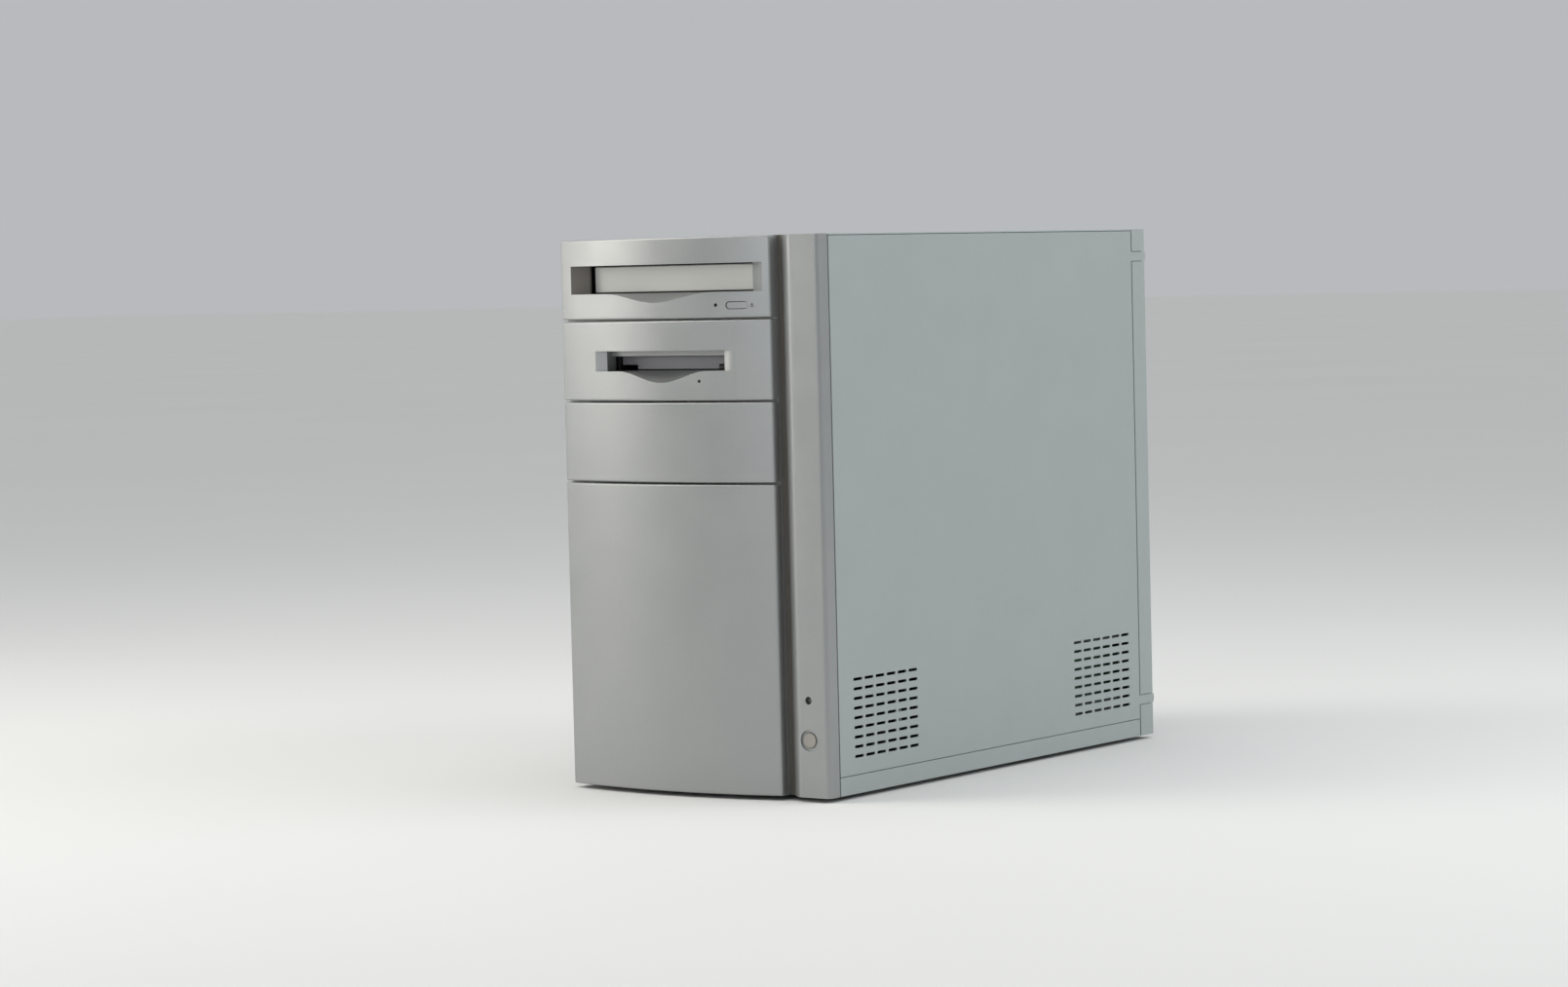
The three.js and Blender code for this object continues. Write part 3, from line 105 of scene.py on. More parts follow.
def linear(code: str) -> tuple[float, float, float, float]:
    """Turns an sRGB hex colour to the linear values that shaders use.

    Args:
        code: Six hex digits, with or without a leading hash.

    Returns:
        Linear red, green, blue and an alpha of 1.
    """
    digits = code.lstrip("#")
    channels = [int(digits[i : i + 2], 16) / 255 for i in (0, 2, 4)]
    return *(c / 12.92 if c <= 0.04045 else ((c + 0.055) / 1.055) ** 2.4 for c in channels), 1.0


def add_node(tree: Tree, kind: str, feeds: dict | None = None, **settings) -> bpy.types.Node:
    """Adds one node to a material.

    Args:
        tree: The material's node tree.
        kind: The node's type name.
        feeds: Socket name or number to a value, or to another node's output socket.
        **settings: The node's own properties.

    Returns:
        The new node.
    """
    node = tree.nodes.new(kind)
    for key, value in settings.items():
        setattr(node, key, value)
    for key, value in (feeds or {}).items():
        if isinstance(value, Socket):
            tree.links.new(value, node.inputs[key])
        else:
            node.inputs[key].default_value = value
    return node


def noise(tree: Tree, place: Socket, size_mm: float, detail: float = 2.0) -> Socket:
    """Returns a noise pattern of a size in millimetres."""
    feeds = {"Vector": place, "Scale": 1 / (size_mm * MM), "Detail": detail}
    return add_node(tree, "ShaderNodeTexNoise", feeds).outputs["Fac"]


def ranged(tree: Tree, value: Socket, given: Span, wanted: Span) -> Socket:
    """Returns a value that is moved from a given range to a wanted one."""
    feeds = {"Value": value, 1: given[0], 2: given[1], 3: wanted[0], 4: wanted[1]}
    return add_node(tree, "ShaderNodeMapRange", feeds).outputs[0]


def blended(tree: Tree, share: Socket, tones: tuple[str, str]) -> Socket:
    """Returns the colour between two tones, where a share of 1 is all of the second."""
    feeds = {"Factor": share, 6: linear(tones[0]), 7: linear(tones[1])}
    return add_node(tree, "ShaderNodeMix", feeds, data_type="RGBA").outputs[2]


@dataclass(frozen=True)
class Finish:
    """A surface whose colour drifts between two tones and whose grain is a fine bump."""

    name: str
    tones: tuple[str, str]  # the sRGB hex colours that it drifts between
    roughness: float  # the middle of the roughness range
    metallic: float = 0.0  # 0 for plastic and paint, 1 for bare metal
    grain_mm: float = 0.6
    grain_depth: float = 0.12  # how strongly the grain bumps, from 0 to 1
    drift_mm: float = 45.0  # size of the patches of either tone
    flake: float = 0.0  # how much single grains differ in brightness
    ior: float = 1.5  # index of refraction
    coat: float = 0.0  # strength of a clear coat

    def material(self) -> bpy.types.Material:
        """Returns the material, which is made the first time that it is asked for."""
        made = bpy.data.materials.get(self.name)
        if made is None:
            made = bpy.data.materials.new(self.name)
            made.use_nodes = True
            made.node_tree.nodes.clear()
            self.build(made.node_tree)
        return made

    def build(self, tree: Tree) -> None:
        """Builds the shader in the material's empty node tree."""
        place = add_node(tree, "ShaderNodeTexCoord").outputs["Object"]
        shader = add_node(
            tree,
            "ShaderNodeBsdfPrincipled",
            {
                "Base Color": self.colour(tree, place),
                "Metallic": self.metallic,
                "Roughness": self.sheen(tree, place),
                "Normal": self.relief(tree, place),
                "IOR": self.ior,
                "Coat Weight": self.coat,
            },
        )
        add_node(tree, "ShaderNodeOutputMaterial", {"Surface": shader.outputs["BSDF"]})

    def colour(self, tree: Tree, place: Socket) -> Socket:
        """Returns the socket of the drifting colour, with each grain a little lighter or darker."""
        drifting = blended(tree, noise(tree, place, self.drift_mm), self.tones)
        if not self.flake:
            return drifting
        speck = noise(tree, place, self.grain_mm, 1.0)
        bright = ranged(tree, speck, NOISE_SPAN, (1 - self.flake, 1 + self.flake))
        feeds = {"Value": bright, "Color": drifting}
        return add_node(tree, "ShaderNodeHueSaturation", feeds).outputs[0]

    def sheen(self, tree: Tree, place: Socket) -> Socket:
        """Returns the socket of a roughness that handling has made a little uneven."""
        handled = noise(tree, place, HANDLED_SIZE * self.drift_mm, 4.0)
        return ranged(tree, handled, NOISE_SPAN, self.around(HANDLED_SPREAD * self.roughness))

    def around(self, spread: float) -> Span:
        """Returns a range of roughness."""
        return self.roughness - spread, self.roughness + spread

    def relief(self, tree: Tree, place: Socket) -> Socket:
        """Returns the socket of the normals, bumped by the grain."""
        return self.bump(tree, noise(tree, place, self.grain_mm), self.grain_mm)

    def bump(self, tree: Tree, height: Socket, size_mm: float) -> Socket:
        """Returns the normals of a height pattern whose depth suits the size of its grain."""
        deep = BUMP_DEPTH * size_mm * MM
        feeds = {"Height": height, "Strength": self.grain_depth, "Distance": deep}
        return add_node(tree, "ShaderNodeBump", feeds).outputs["Normal"]


@dataclass(frozen=True)
class SpangledZinc(Finish):
    """Hot-dip zinc on steel sheet: crystals a few millimetres across catch the light in turn."""

    crystal_mm: float = 7.0
    step: float = 0.09

    def sheen(self, tree: Tree, place: Socket) -> Socket:
        """Returns the socket of a roughness that steps from crystal to crystal."""
        feeds = {"Vector": place, "Scale": 1 / (self.crystal_mm * MM)}
        crystal = add_node(tree, "ShaderNodeTexVoronoi", feeds).outputs["Color"]
        return ranged(tree, crystal, (0.0, 1.0), self.around(self.step))


@dataclass(frozen=True)
class SolderMask(Finish):
    """Green lacquer over etched copper: the tracks stand out as paler, raised lines."""

    track_mm: float = 5.0

    def tracks(self, tree: Tree, place: Socket) -> Socket:
        """Returns 1 on a track and 0 between tracks."""
        feeds = {"Vector": place, "Scale": 1 / (self.track_mm * MM)}
        cells = add_node(tree, "ShaderNodeTexVoronoi", feeds, feature="DISTANCE_TO_EDGE")
        return ranged(tree, cells.outputs["Distance"], (0.05, 0.09), (1.0, 0.0))

    def colour(self, tree: Tree, place: Socket) -> Socket:
        """Returns the dark tone between tracks and the pale one on them."""
        return blended(tree, self.tracks(tree, place), self.tones)

    def relief(self, tree: Tree, place: Socket) -> Socket:
        """Returns the normals of the raised tracks."""
        return self.bump(tree, self.tracks(tree, place), self.grain_mm)


@dataclass(frozen=True)
class RibbedCable(Finish):
    """Flat cable: grey PVC wires side by side, which show as ridges."""

    wire_mm: float = 1.27
    across: str = "X"

    def relief(self, tree: Tree, place: Socket) -> Socket:
        """Returns the normals of round wires side by side."""
        # A wave's bands are a full turn apart at a scale of 2 pi over 20.
        feeds = {"Vector": place, "Scale": math.pi / 10 / (self.wire_mm * MM)}
        ridges = add_node(tree, "ShaderNodeTexWave", feeds, bands_direction=self.across)
        return self.bump(tree, ridges.outputs["Fac"], self.wire_mm)


# Silver-grey lacquer sprayed on moulded ABS: satin, with a fine metallic fleck.
SILVER_TONES = ("#979a9a", "#9d9e9d")
SILVER_ABS = Finish(
    "silver_lacquered_abs", SILVER_TONES, 0.34, 0.5, grain_mm=0.5, grain_depth=0.1, flake=0.035
)
# Light warm-grey ABS, moulded with a fine spark-eroded grain: soft, even highlights.
WARM_ABS = Finish("warm_grey_abs", ("#dcdcd6", "#d5d5cf"), 0.45, grain_mm=0.5, grain_depth=0.16)
# Darker, brownish-grey ABS. On the groove's floor and the optical mouth's cheek it is painted shade; on
# the eject mark it is the mark's own colour.
MARK_AND_SHADE_ABS = Finish("mark_and_painted_shade_abs", ("#625e58", "#69655f"), 0.55, grain_mm=0.5, grain_depth=0.16)
# Darker ABS of the button that is pressed most: slightly polished by fingers.
BUTTON_ABS = Finish("button_abs", ("#95928a", "#8f8c85"), 0.4, grain_mm=0.5, grain_depth=0.1)
# Powder coat baked on steel sheet: satin with a faint orange peel.
POWDER_TONES = ("#a3aba9", "#9ea6a4")
POWDER_STEEL = Finish(
    "powder_coated_steel", POWDER_TONES, 0.42, 0.12, grain_mm=1.1, grain_depth=0.1, flake=0.015
)
ZINC = SpangledZinc("zinc_plated_steel", ("#b3b5b7", "#a7a9ac"), 0.38, 1.0, grain_depth=0.05)
# Black ABS with a spark-eroded grain: grey sheen at a low angle.
BLACK_ABS = Finish("black_abs", ("#1a1b1d", "#202123"), 0.48, grain_depth=0.2)
# Grey polyoxymethylene, as moved by fingers and levers: slightly waxy.
GREY_POM = Finish("grey_pom", ("#8c8b90", "#828186"), 0.4, grain_depth=0.06)
RUBBER = Finish("black_rubber", ("#161616", "#1d1d1c"), 0.85, grain_mm=0.9, grain_depth=0.3, ior=1.52)
BOARD = SolderMask("solder_mask", ("#17452c", "#2a6b45"), 0.32, grain_mm=0.3, grain_depth=0.3, coat=0.3)
# Die-cast or extruded aluminium, left bare: a dull, cloudy metal.
ALUMINIUM = Finish("bare_aluminium", ("#b4b6b9", "#a3a5a8"), 0.42, 1.0, grain_mm=0.8, grain_depth=0.15)
CAST_BLACK = Finish("black_cast_lid", ("#2a2b2d", "#232426"), 0.4, 0.3, grain_mm=0.8, grain_depth=0.25)


def socket_plastic(colour: str, tones: tuple[str, str], roughness: float = 0.45) -> Finish:
    """Returns glass-filled polyester of sockets and plugs: matt, with a faint fibre grain."""
    return Finish(f"{colour}_socket", tones, roughness, grain_mm=0.5, grain_depth=0.15)


IVORY_SOCKET = socket_plastic("ivory", ("#d8d3c2", "#cfcab9"), 0.5)
BROWN_SOCKET = socket_plastic("brown", ("#4f2f1f", "#5a3726"), 0.5)
BLUE_SOCKET = socket_plastic("blue", ("#27447d", "#2d4d8a"))
GREEN_SOCKET = socket_plastic("green", ("#3f8a5c", "#468f62"))
LILAC_SOCKET = socket_plastic("lilac", ("#77649b", "#7d6ba1"))
# Gold flashed over nickel on contacts: bright and warm.
GOLD = Finish("gold_flash", ("#d9b45a", "#cfa84f"), 0.22, 1.0, grain_depth=0.04)
EPOXY = Finish("chip_epoxy", ("#1c1d1f", "#232427"), 0.42, grain_mm=0.4, grain_depth=0.2)
CAN_SLEEVE = Finish("capacitor_sleeve", ("#1d2438", "#232b42"), 0.35, grain_depth=0.05)
# Smoked polycarbonate of the lamp: clear gloss over a dark, slightly green core.
LENS = Finish("smoked_lens", ("#141c15", "#1b251c"), 0.12, grain_depth=0.02, ior=1.58, coat=0.6)
CABLE_TONES = ("#a3a6a9", "#9a9da0")
CABLE_DOWN = RibbedCable("ribbon_pvc_down", CABLE_TONES, 0.45, grain_depth=0.9, across="X")
CABLE_ACROSS = RibbedCable("ribbon_pvc_across", CABLE_TONES, 0.45, grain_depth=0.9, across="Z")
# Paint of the pale studio floor: matt and faintly mottled.
FLOOR_PAINT = Finish(
    "studio_floor", ("#d9d9d7", "#d5d5d3"), 0.75, grain_mm=6.0, grain_depth=0.02, drift_mm=900
)

FINISH_OF = {
    "front_plastic": SILVER_ABS,
    "beige_plastic": WARM_ABS,
    "painted_steel": POWDER_STEEL,
    "zinc_steel": ZINC,
    "black_plastic": BLACK_ABS,
    "grey_plastic": GREY_POM,
    "foot_rubber": RUBBER,
    "circuit_board": BOARD,
    "cast_aluminium": ALUMINIUM,
    "connector_plastic": IVORY_SOCKET,
    "ribbon_cable": CABLE_DOWN,
    "lamp_plastic": LENS,
}


# ---- Mesh tools ----

WELD_M = 1e-6  # points closer than this are one
FLAT_ANGLE = math.radians(0.4)  # faces that turn less than this are one flat face
SHARP_ANGLE = math.radians(32)  # edges that turn more than this are rounded off
CREASE_ANGLE = math.radians(40)  # the bowed panels' corners turn more than this
NEAR_M = 1e-5  # points as close as this to a side lie on it


@dataclass(frozen=True)
class Box:
    """An upright box between two corners, in metres."""

    low: Vector
    high: Vector

    @classmethod
    def of(cls, node: str) -> Box:
        """Returns the box that a solid fills at rest."""
        return cls(*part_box(node))

    @property
    def centre(self) -> Vector:
        """The middle of the box."""
        return (self.low + self.high) / 2

    @property
    def size(self) -> Vector:
        """The box's width, depth and height."""
        return self.high - self.low

    def mesh(self, bm: Mesh, bevel_mm: float = 0.0) -> None:
        """Adds the box to a bmesh.

        Args:
            bm: The bmesh.
            bevel_mm: How far its edges are rounded off.
        """
        placed = Matrix.Translation(self.centre) @ Matrix.Diagonal((*self.size, 1.0))
        made = bmesh.ops.create_cube(bm, size=1.0, matrix=placed)
        if bevel_mm:
            edges = {edge for vert in made["verts"] for edge in vert.link_edges}
            round_off(bm, edges, bevel_mm)


def box_at(place: tuple[float, float, float], width: float, depth: float, height: float) -> Box:
    """Makes a box round a point.

    Args:
        place: Its centre, in metres.
        width: Its size in millimetres along X.
        depth: Its size along Y.
        height: Its size along Z.

    Returns:
        The box.
    """
    half = Vector((width * MM, depth * MM, height * MM)) / 2
    centre = Vector(place)
    return Box(centre - half, centre + half)


def round_off(bm: Mesh, edges: Iterable, radius_mm: float, segments: int = 2) -> None:
    """Rounds edges off.

    Args:
        bm: The bmesh.
        edges: The edges to round.
        radius_mm: The rounding's radius.
        segments: The number of faces across the rounding.
    """
    bmesh.ops.bevel(
        bm,
        geom=list(edges),
        offset=radius_mm * MM,
        offset_type="OFFSET",
        affect="EDGES",
        segments=segments,
        profile=0.5,
        material=-1,
        clamp_overlap=True,
    )


def turned(bm: Mesh, profile: Profile, axis: Axis, centre: Vector, steps: int) -> None:
    """Adds a turned shape.

    Args:
        bm: The bmesh.
        profile: Radius and height of each point in millimetres, from axis to axis.
        axis: The way that the axis runs.
        centre: Where the axis's height is 0, in metres.
        steps: The number of sides.
    """
    verts = [bm.verts.new((radius * MM, 0, height * MM)) for radius, height in profile]
    edges = [bm.edges.new(pair) for pair in zip(verts, verts[1:])]
    before = set(bm.faces)
    bmesh.ops.spin(
        bm,
        geom=verts + edges,
        axis=(0, 0, 1),
        angle=2 * math.pi,
        steps=steps,
        use_merge=True,
    )
    faces = [face for face in bm.faces if face not in before]
    points = list({vert for face in faces for vert in face.verts})
    bmesh.ops.transform(bm, matrix=Matrix.Translation(centre) @ axis.value, verts=points)
    bmesh.ops.remove_doubles(bm, verts=points, dist=WELD_M)
    left = [face for face in bm.faces if face not in before]
    bmesh.ops.recalc_face_normals(bm, faces=left)


def added(name: str, data: bpy.types.ID) -> bpy.types.Object:
    """Adds an object to the scene.

    Args:
        name: Its name.
        data: Its mesh, lamp or camera.

    Returns:
        The object.
    """
    made = bpy.data.objects.new(name, data)
    bpy.context.scene.collection.objects.link(made)
    return made


def mesh_from(bm: Mesh, name: str) -> bpy.types.Mesh:
    """Turns a bmesh to a mesh.

    Args:
        bm: The bmesh, which is freed.
        name: The mesh's name.

    Returns:
        The mesh.
    """
    mesh = bpy.data.meshes.new(name)
    bm.to_mesh(mesh)
    bm.free()
    return mesh


def bow_radius(half: float, rise: float) -> float:
    """Returns the radius of a bow, from half its width and its rise."""
    return (half**2 + rise**2) / (2 * rise)


def corners_of(bm: Mesh) -> tuple[Vector, Vector]:
    """Returns the lowest and the highest corner of a mesh's box."""
    points = [vert.co for vert in bm.verts]
    return Vector(map(min, *points)), Vector(map(max, *points))


def solid_copy(node: str) -> Mesh:
    """Returns a solid's mesh with its loose triangles welded and its flat faces made whole."""
    bm = bmesh.new()
    bm.from_mesh(frame["nodes"][node].data)
    bmesh.ops.remove_doubles(bm, verts=bm.verts, dist=5 * WELD_M)
    bmesh.ops.dissolve_limit(
        bm, angle_limit=FLAT_ANGLE, verts=bm.verts, edges=bm.edges, use_dissolve_boundaries=False
    )
    return bm


Painter = Callable[[Vector, Vector], int]


@dataclass
class SubAssembly:
    """Pieces that are built and dressed together, with those made so far."""

    pieces: list[bpy.types.Object] = field(default_factory=list, init=False)

    def refine(
        self,
        node: str,
        bevel_mm: float = 0.3,
        segments: int = 2,
        finishes: tuple[Finish, ...] = (),
        paint: Painter | None = None,
        shape: Callable[[Mesh], None] | None = None,
    ) -> None:
        """Makes the finished piece that stands for a solid: rounded edges and its finish.

        Args:
            node: The solid's name.
            bevel_mm: How far its edges are rounded off.
            segments: The number of faces across each rounding.
            finishes: The finishes, or none for its slot's own.
            paint: Gives the number of the finish for a face, from its centre and normal.
            shape: Changes the mesh before its edges are rounded.
        """
        bm = solid_copy(node)
        if shape:
            shape(bm)
        piece = self.make(
            f"{node}_finished", bm, BODY_OF[node], SLOT_OF[node], finishes, bevel_mm, segments, paint
        )
        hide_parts(node)

    def turn(
        self,
        node: str,
        ending: str,
        profile: Profile,
        axis: Axis = Axis.Y,
        steps: int = 40,
        finishes: tuple[Finish, ...] = (),
    ) -> None:
        """Makes a round solid's finished piece by turning a profile.

        Args:
            node: The solid's name.
            ending: What is added to it for the piece's name.
            profile: Radius and height of each point, from the solid's front or its underside.
            axis: The way that its axis runs, back or up.
            steps: The number of sides.
            finishes: The finishes, or none for its slot's own.
        """
        box = Box.of(node)
        foot = Vector(box.centre)
        along = "xyz".index(axis.name.lower())
        foot[along] = box.low[along]
        bm = bmesh.new()
        turned(bm, profile, axis, foot, steps)
        piece = self.make(f"{node}_{ending}", bm, BODY_OF[node], SLOT_OF[node], finishes)
        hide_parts(node)

    def make(
        self,
        name: str,
        bm: Mesh,
        body: str,
        slot: str,
        finishes: tuple[Finish, ...] = (),
        bevel_mm: float = 0.0,
        segments: int = 2,
        paint: Painter | None = None,
    ) -> bpy.types.Object:
        """Turns a bmesh to a piece that rides on a body.

        Args:
            name: The piece's name.
            bm: Its mesh, which is freed.
            body: The body that it moves with.
            slot: The record's material slot.
            finishes: The finishes, or none for the slot's own.
            bevel_mm: How far its edges are rounded off by a modifier.
            segments: The number of faces across each rounding.
            paint: Gives the number of the finish for a face.

        Returns:
            The piece.
        """
        for face in bm.faces:
            face.smooth = True
            if paint:
                face.material_index = paint(face.calc_center_median(), face.normal)
        mesh = mesh_from(bm, name)
        mesh.set_sharp_from_angle(angle=SHARP_ANGLE)
        for finish in finishes or (FINISH_OF[slot],):
            mesh.materials.append(finish.material())
        piece = added(name, mesh)
        if bevel_mm:
            rounding = piece.modifiers.new("rounding", "BEVEL")
            rounding.width = bevel_mm * MM
            rounding.segments = segments
            rounding.limit_method = "ANGLE"
            rounding.angle_limit = SHARP_ANGLE
            piece.modifiers.new("evened", "WEIGHTED_NORMAL").keep_sharp = True
        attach(piece, body)
        self.pieces.append(piece)
        return piece


# ---- Moulded front ----


@dataclass
class MouldedFront(SubAssembly):
    """The front moulding, its four bowed panels, the power button and the lamp."""

    edge_mm: float = 1.1  # rounding of the panels' outer edges
    mouth_mm: float = 0.35  # rounding of their mouths
    wall_mm: float = 2.5
    lid_mm: float = 1.97
    groove_shade_mm: float = 6.5  # depth from which the groove's floor is painted darker, as painted shade
    cheek_mm: float = 22.0  # from the panel's left edge, the reach of the optical mouth's cheek, which is painted darker as painted shade
    arc_steps: int = 56
    dome_mm: float = 0.9  # how far the lamp's lens stands out

    def build(self) -> None:
        """Builds every piece of the front."""
        groove_floor = Box.of("front_bezel").low.y + self.groove_shade_mm * MM
        # The groove's floor, deeper than groove_shade_mm, gets the darker grey as painted shade.
        self.refine(
            "front_bezel",
            0.4,
            2,
            (SILVER_ABS, MARK_AND_SHADE_ABS),
            lambda centre, normal: int(normal.y < -0.3 and centre.y > groove_floor),
        )
        self.groove_lids()
        self.bowed_panel("blank_bay_panel")
        self.bowed_panel("lower_front_cover")
        cheek = Box.of("optical_bay_panel").low.x + self.cheek_mm * MM
        # The optical mouth's cheek, which faces right, gets the darker grey as painted shade.
        self.refine(
            "optical_bay_panel",
            self.mouth_mm,
            2,
            (SILVER_ABS, MARK_AND_SHADE_ABS),
            lambda centre, normal: int(normal.x > 0.3 and centre.x < cheek),
            self.round_outline,
        )
        self.refine("floppy_bay_panel", self.mouth_mm, 2, shape=self.round_outline)
        self.power_button()
        self.lamp()
        self.refine("power_switch_board", 0.15, 1)

    def groove_lids(self) -> None:
        """Closes the hollows behind the groove's side and the strip's corner, at top and bottom.

        The outlines are in millimetres from the moulding's right front edge.
        """
        box = Box.of("front_bezel")
        behind_groove = ((-21.7, 2.0), (-21.7, 9.3), (-32.5, 9.3))
        behind_corner = ((-3.8, 2.0), (-2.2, 2.0), (-2.2, 10.7), (-3.8, 10.7))
        bm = bmesh.new()
        for outline in (behind_groove, behind_corner):
            for low in (box.low.z + 0.03 * MM, box.high.z - (self.lid_mm + 0.03) * MM):
                places = [(box.high.x + x * MM, box.low.y + y * MM, low) for x, y in outline]
                verts = [bm.verts.new(place) for place in places]
                drawn = bmesh.ops.extrude_face_region(bm, geom=[bm.faces.new(verts)])["geom"]
                tops = [item for item in drawn if isinstance(item, bmesh.types.BMVert)]
                bmesh.ops.translate(bm, vec=(0, 0, self.lid_mm * MM), verts=tops)
        bmesh.ops.recalc_face_normals(bm, faces=bm.faces)
        self.make("groove_lids", bm, BODY_OF["front_bezel"], SLOT_OF["front_bezel"])

    def round_outline(self, bm: Mesh) -> None:
        """Rounds a panel's outer edges, all round its bowed face."""
        low, high = corners_of(bm)

        def outer(edge: bmesh.types.BMEdge) -> bool:
            if len(edge.link_faces) != 2 or edge.calc_face_angle() < CREASE_ANGLE:
                return False
            points = [vert.co for vert in edge.verts]
            if all(point.y > high.y - NEAR_M for point in points):
                return False
            on_side = any(
                all(abs(point[k] - side[k]) < 2 * NEAR_M for point in points)
                for side in (low, high)
                for k in (0, 2)
            )
            return on_side and min(point.y for point in points) < high.y - 2 * MM

        round_off(bm, [edge for edge in bm.edges if outer(edge)], self.edge_mm, 4)

    def bowed_panel(self, node: str) -> None:
        """Builds a plain bowed panel by sweeping its edge round the bow.

        Args:
            node: The solid that it stands for.
        """
        box = Box.of(node)
        half = box.size.x / 2
        points = [vert.co for vert in frame["nodes"][node].data.vertices]
        edge_y = min(point.y for point in points if point.x < box.low.x + NEAR_M)
        radius = bow_radius(half, edge_y - box.low.y)
        centre = Vector((box.centre.x, box.low.y + radius, 0))
        span = 2 * math.asin(half / radius)
        bm = bmesh.new()
        ends = [bm.verts.new((box.low.x, edge_y, z)) for z in (box.low.z, box.high.z)]
        bmesh.ops.spin(
            bm,
            geom=[*ends, bm.edges.new(ends)],
            cent=centre,
            axis=(0, 0, 1),
            angle=span,
            steps=self.arc_steps,
        )
        rim = [edge for edge in bm.edges if edge.is_boundary]
        drawn = bmesh.ops.extrude_edge_only(bm, edges=rim)["geom"]
        back = [item for item in drawn if isinstance(item, bmesh.types.BMVert)]
        plane = Matrix.Translation((0, -box.high.y, 0))
        bmesh.ops.scale(bm, vec=(1, 0, 1), space=plane, verts=back)
        bmesh.ops.recalc_face_normals(bm, faces=bm.faces)
        if sum(face.normal.y for face in bm.faces if abs(face.normal.y) > 0.5) > 0:
            bmesh.ops.reverse_faces(bm, faces=bm.faces)
        inner = [edge for edge in bm.edges if len(edge.link_faces) == 2]
        creases = [edge for edge in inner if edge.calc_face_angle() > CREASE_ANGLE]
        round_off(bm, creases, self.edge_mm, 4)
        piece = self.make(f"{node}_finished", bm, BODY_OF[node], SLOT_OF[node])
        wall = piece.modifiers.new("wall", "SOLIDIFY")
        wall.thickness = self.wall_mm * MM
        wall.offset = -1.0
        piece.modifiers.new("evened", "WEIGHTED_NORMAL").keep_sharp = True
        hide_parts(node)

    def power_button(self) -> None:
        """Builds the round, slightly dished power button with its collar and stem."""
        length = Box.of("power_button").size.y / MM
        profile = [(0, 0.35), (2.6, 0.22), (4.0, 0.02), (4.6, 0.1), (4.9, 0.5), (4.9, 2.4), (6.2, 2.4)]
        profile += [(6.2, 3.9), (4.9, 3.9), (4.9, 4.6), (2.2, 4.6), (2.2, length), (0, length)]
        self.turn("power_button", "turned", profile, steps=48, finishes=(BUTTON_ABS,))

    def lamp(self) -> None:
        """Builds the lamp as a domed lens on a light pipe."""
        box = Box.of("power_lamp")
        radius, length = box.size.x / 2 / MM, box.size.y / MM
        turns = (0, 0.4, 0.8, 1.2, math.pi / 2)
        dome = [(radius * math.sin(a), self.dome_mm * (1 - math.cos(a))) for a in turns]
        self.turn("power_lamp", "lens", [*dome, (radius, length), (0, length)], steps=32)


# ---- Steel case ----


@dataclass
class SteelCase(SubAssembly):
    """The chassis, the covers with their vents, the feet and the cover screws."""

    vent_round_mm: float = 0.85
    vents_high_mm: float = 90.0  # how high up a side panel its vents reach
    sheet_mm: float = 1.0

    def build(self) -> None:
        """Builds the painted outside, the zinc-plated inside and the feet."""
        for node in ("left_side_panel", "right_side_panel"):
            self.refine(node, 0.25, 2, shape=self.round_vents)
        for node in ("bottom_pan", "rear_panel", "top_cover"):
            self.refine(node, 0.25)
        for node in ("front_chassis_plate", "motherboard_tray", "drive_cage", "hard_drive_cage"):
            self.refine(node, 0.2, 1)
        for number in range(1, 5):
            self.refine(f"cover_screw_{number}", 0.45, 3)
        for place in ("front_left", "front_right", "rear_left", "rear_right"):
            self.foot(f"{place}_foot")
        self.speaker()

    def round_vents(self, bm: Mesh) -> None:
        """Rounds the ends of a side panel's vent slots."""
        low, high = corners_of(bm)

        def through(edge: bmesh.types.BMEdge) -> bool:
            first, second = (vert.co for vert in edge.verts)
            along_x = abs(first.y - second.y) < WELD_M and abs(first.z - second.z) < WELD_M
            low_down = low.z + 5 * MM < first.z < low.z + self.vents_high_mm * MM
            inside = low_down and low.y + 5 * MM < first.y < high.y - 25 * MM
            thick = abs(first.x - second.x)
            return along_x and inside and abs(thick - self.sheet_mm * MM) < NEAR_M

        round_off(bm, [edge for edge in bm.edges if through(edge)], self.vent_round_mm, 3)

    def foot(self, node: str) -> None:
        """Builds a moulded rubber foot with a hollow underside and its retaining stem."""
        radius = Box.of(node).size.x / 2 / MM
        collar = 2.7
        profile = [(0, 0.6), (3.6, 0.6), (4.2, 0.0), (radius - 1.1, 0), (radius - 0.3, 0.3)]
        profile += [(radius, 1.1), (radius, collar - 0.4), (radius - 0.4, collar), (3.0, collar)]
        profile += [(3.0, 4.3), (3.9, 4.3), (3.6, 5.2), (2.4, 6.0), (0, 6.0)]
        self.turn(node, "moulded", profile, Axis.Z)

    def speaker(self) -> None:
        """Builds the loudspeaker: a pressed basket with a dark cone and a magnet."""
        box = Box.of("speaker")
        radius, depth = box.size.x / 2 / MM, box.size.y / MM
        profile = [(0, 1.4), (4, 0.9), (5, 1.6), (radius - 5, 0.6), (radius - 3.5, 0.0)]
        profile += [(radius - 2.5, 0.5), (radius, 0.2), (radius, 2.6), (radius - 6, 3)]
        profile += [(15, depth - 4), (13, depth - 3), (13, depth), (0, depth)]
        self.turn("speaker", "basket", profile)


# ---- Drives ----


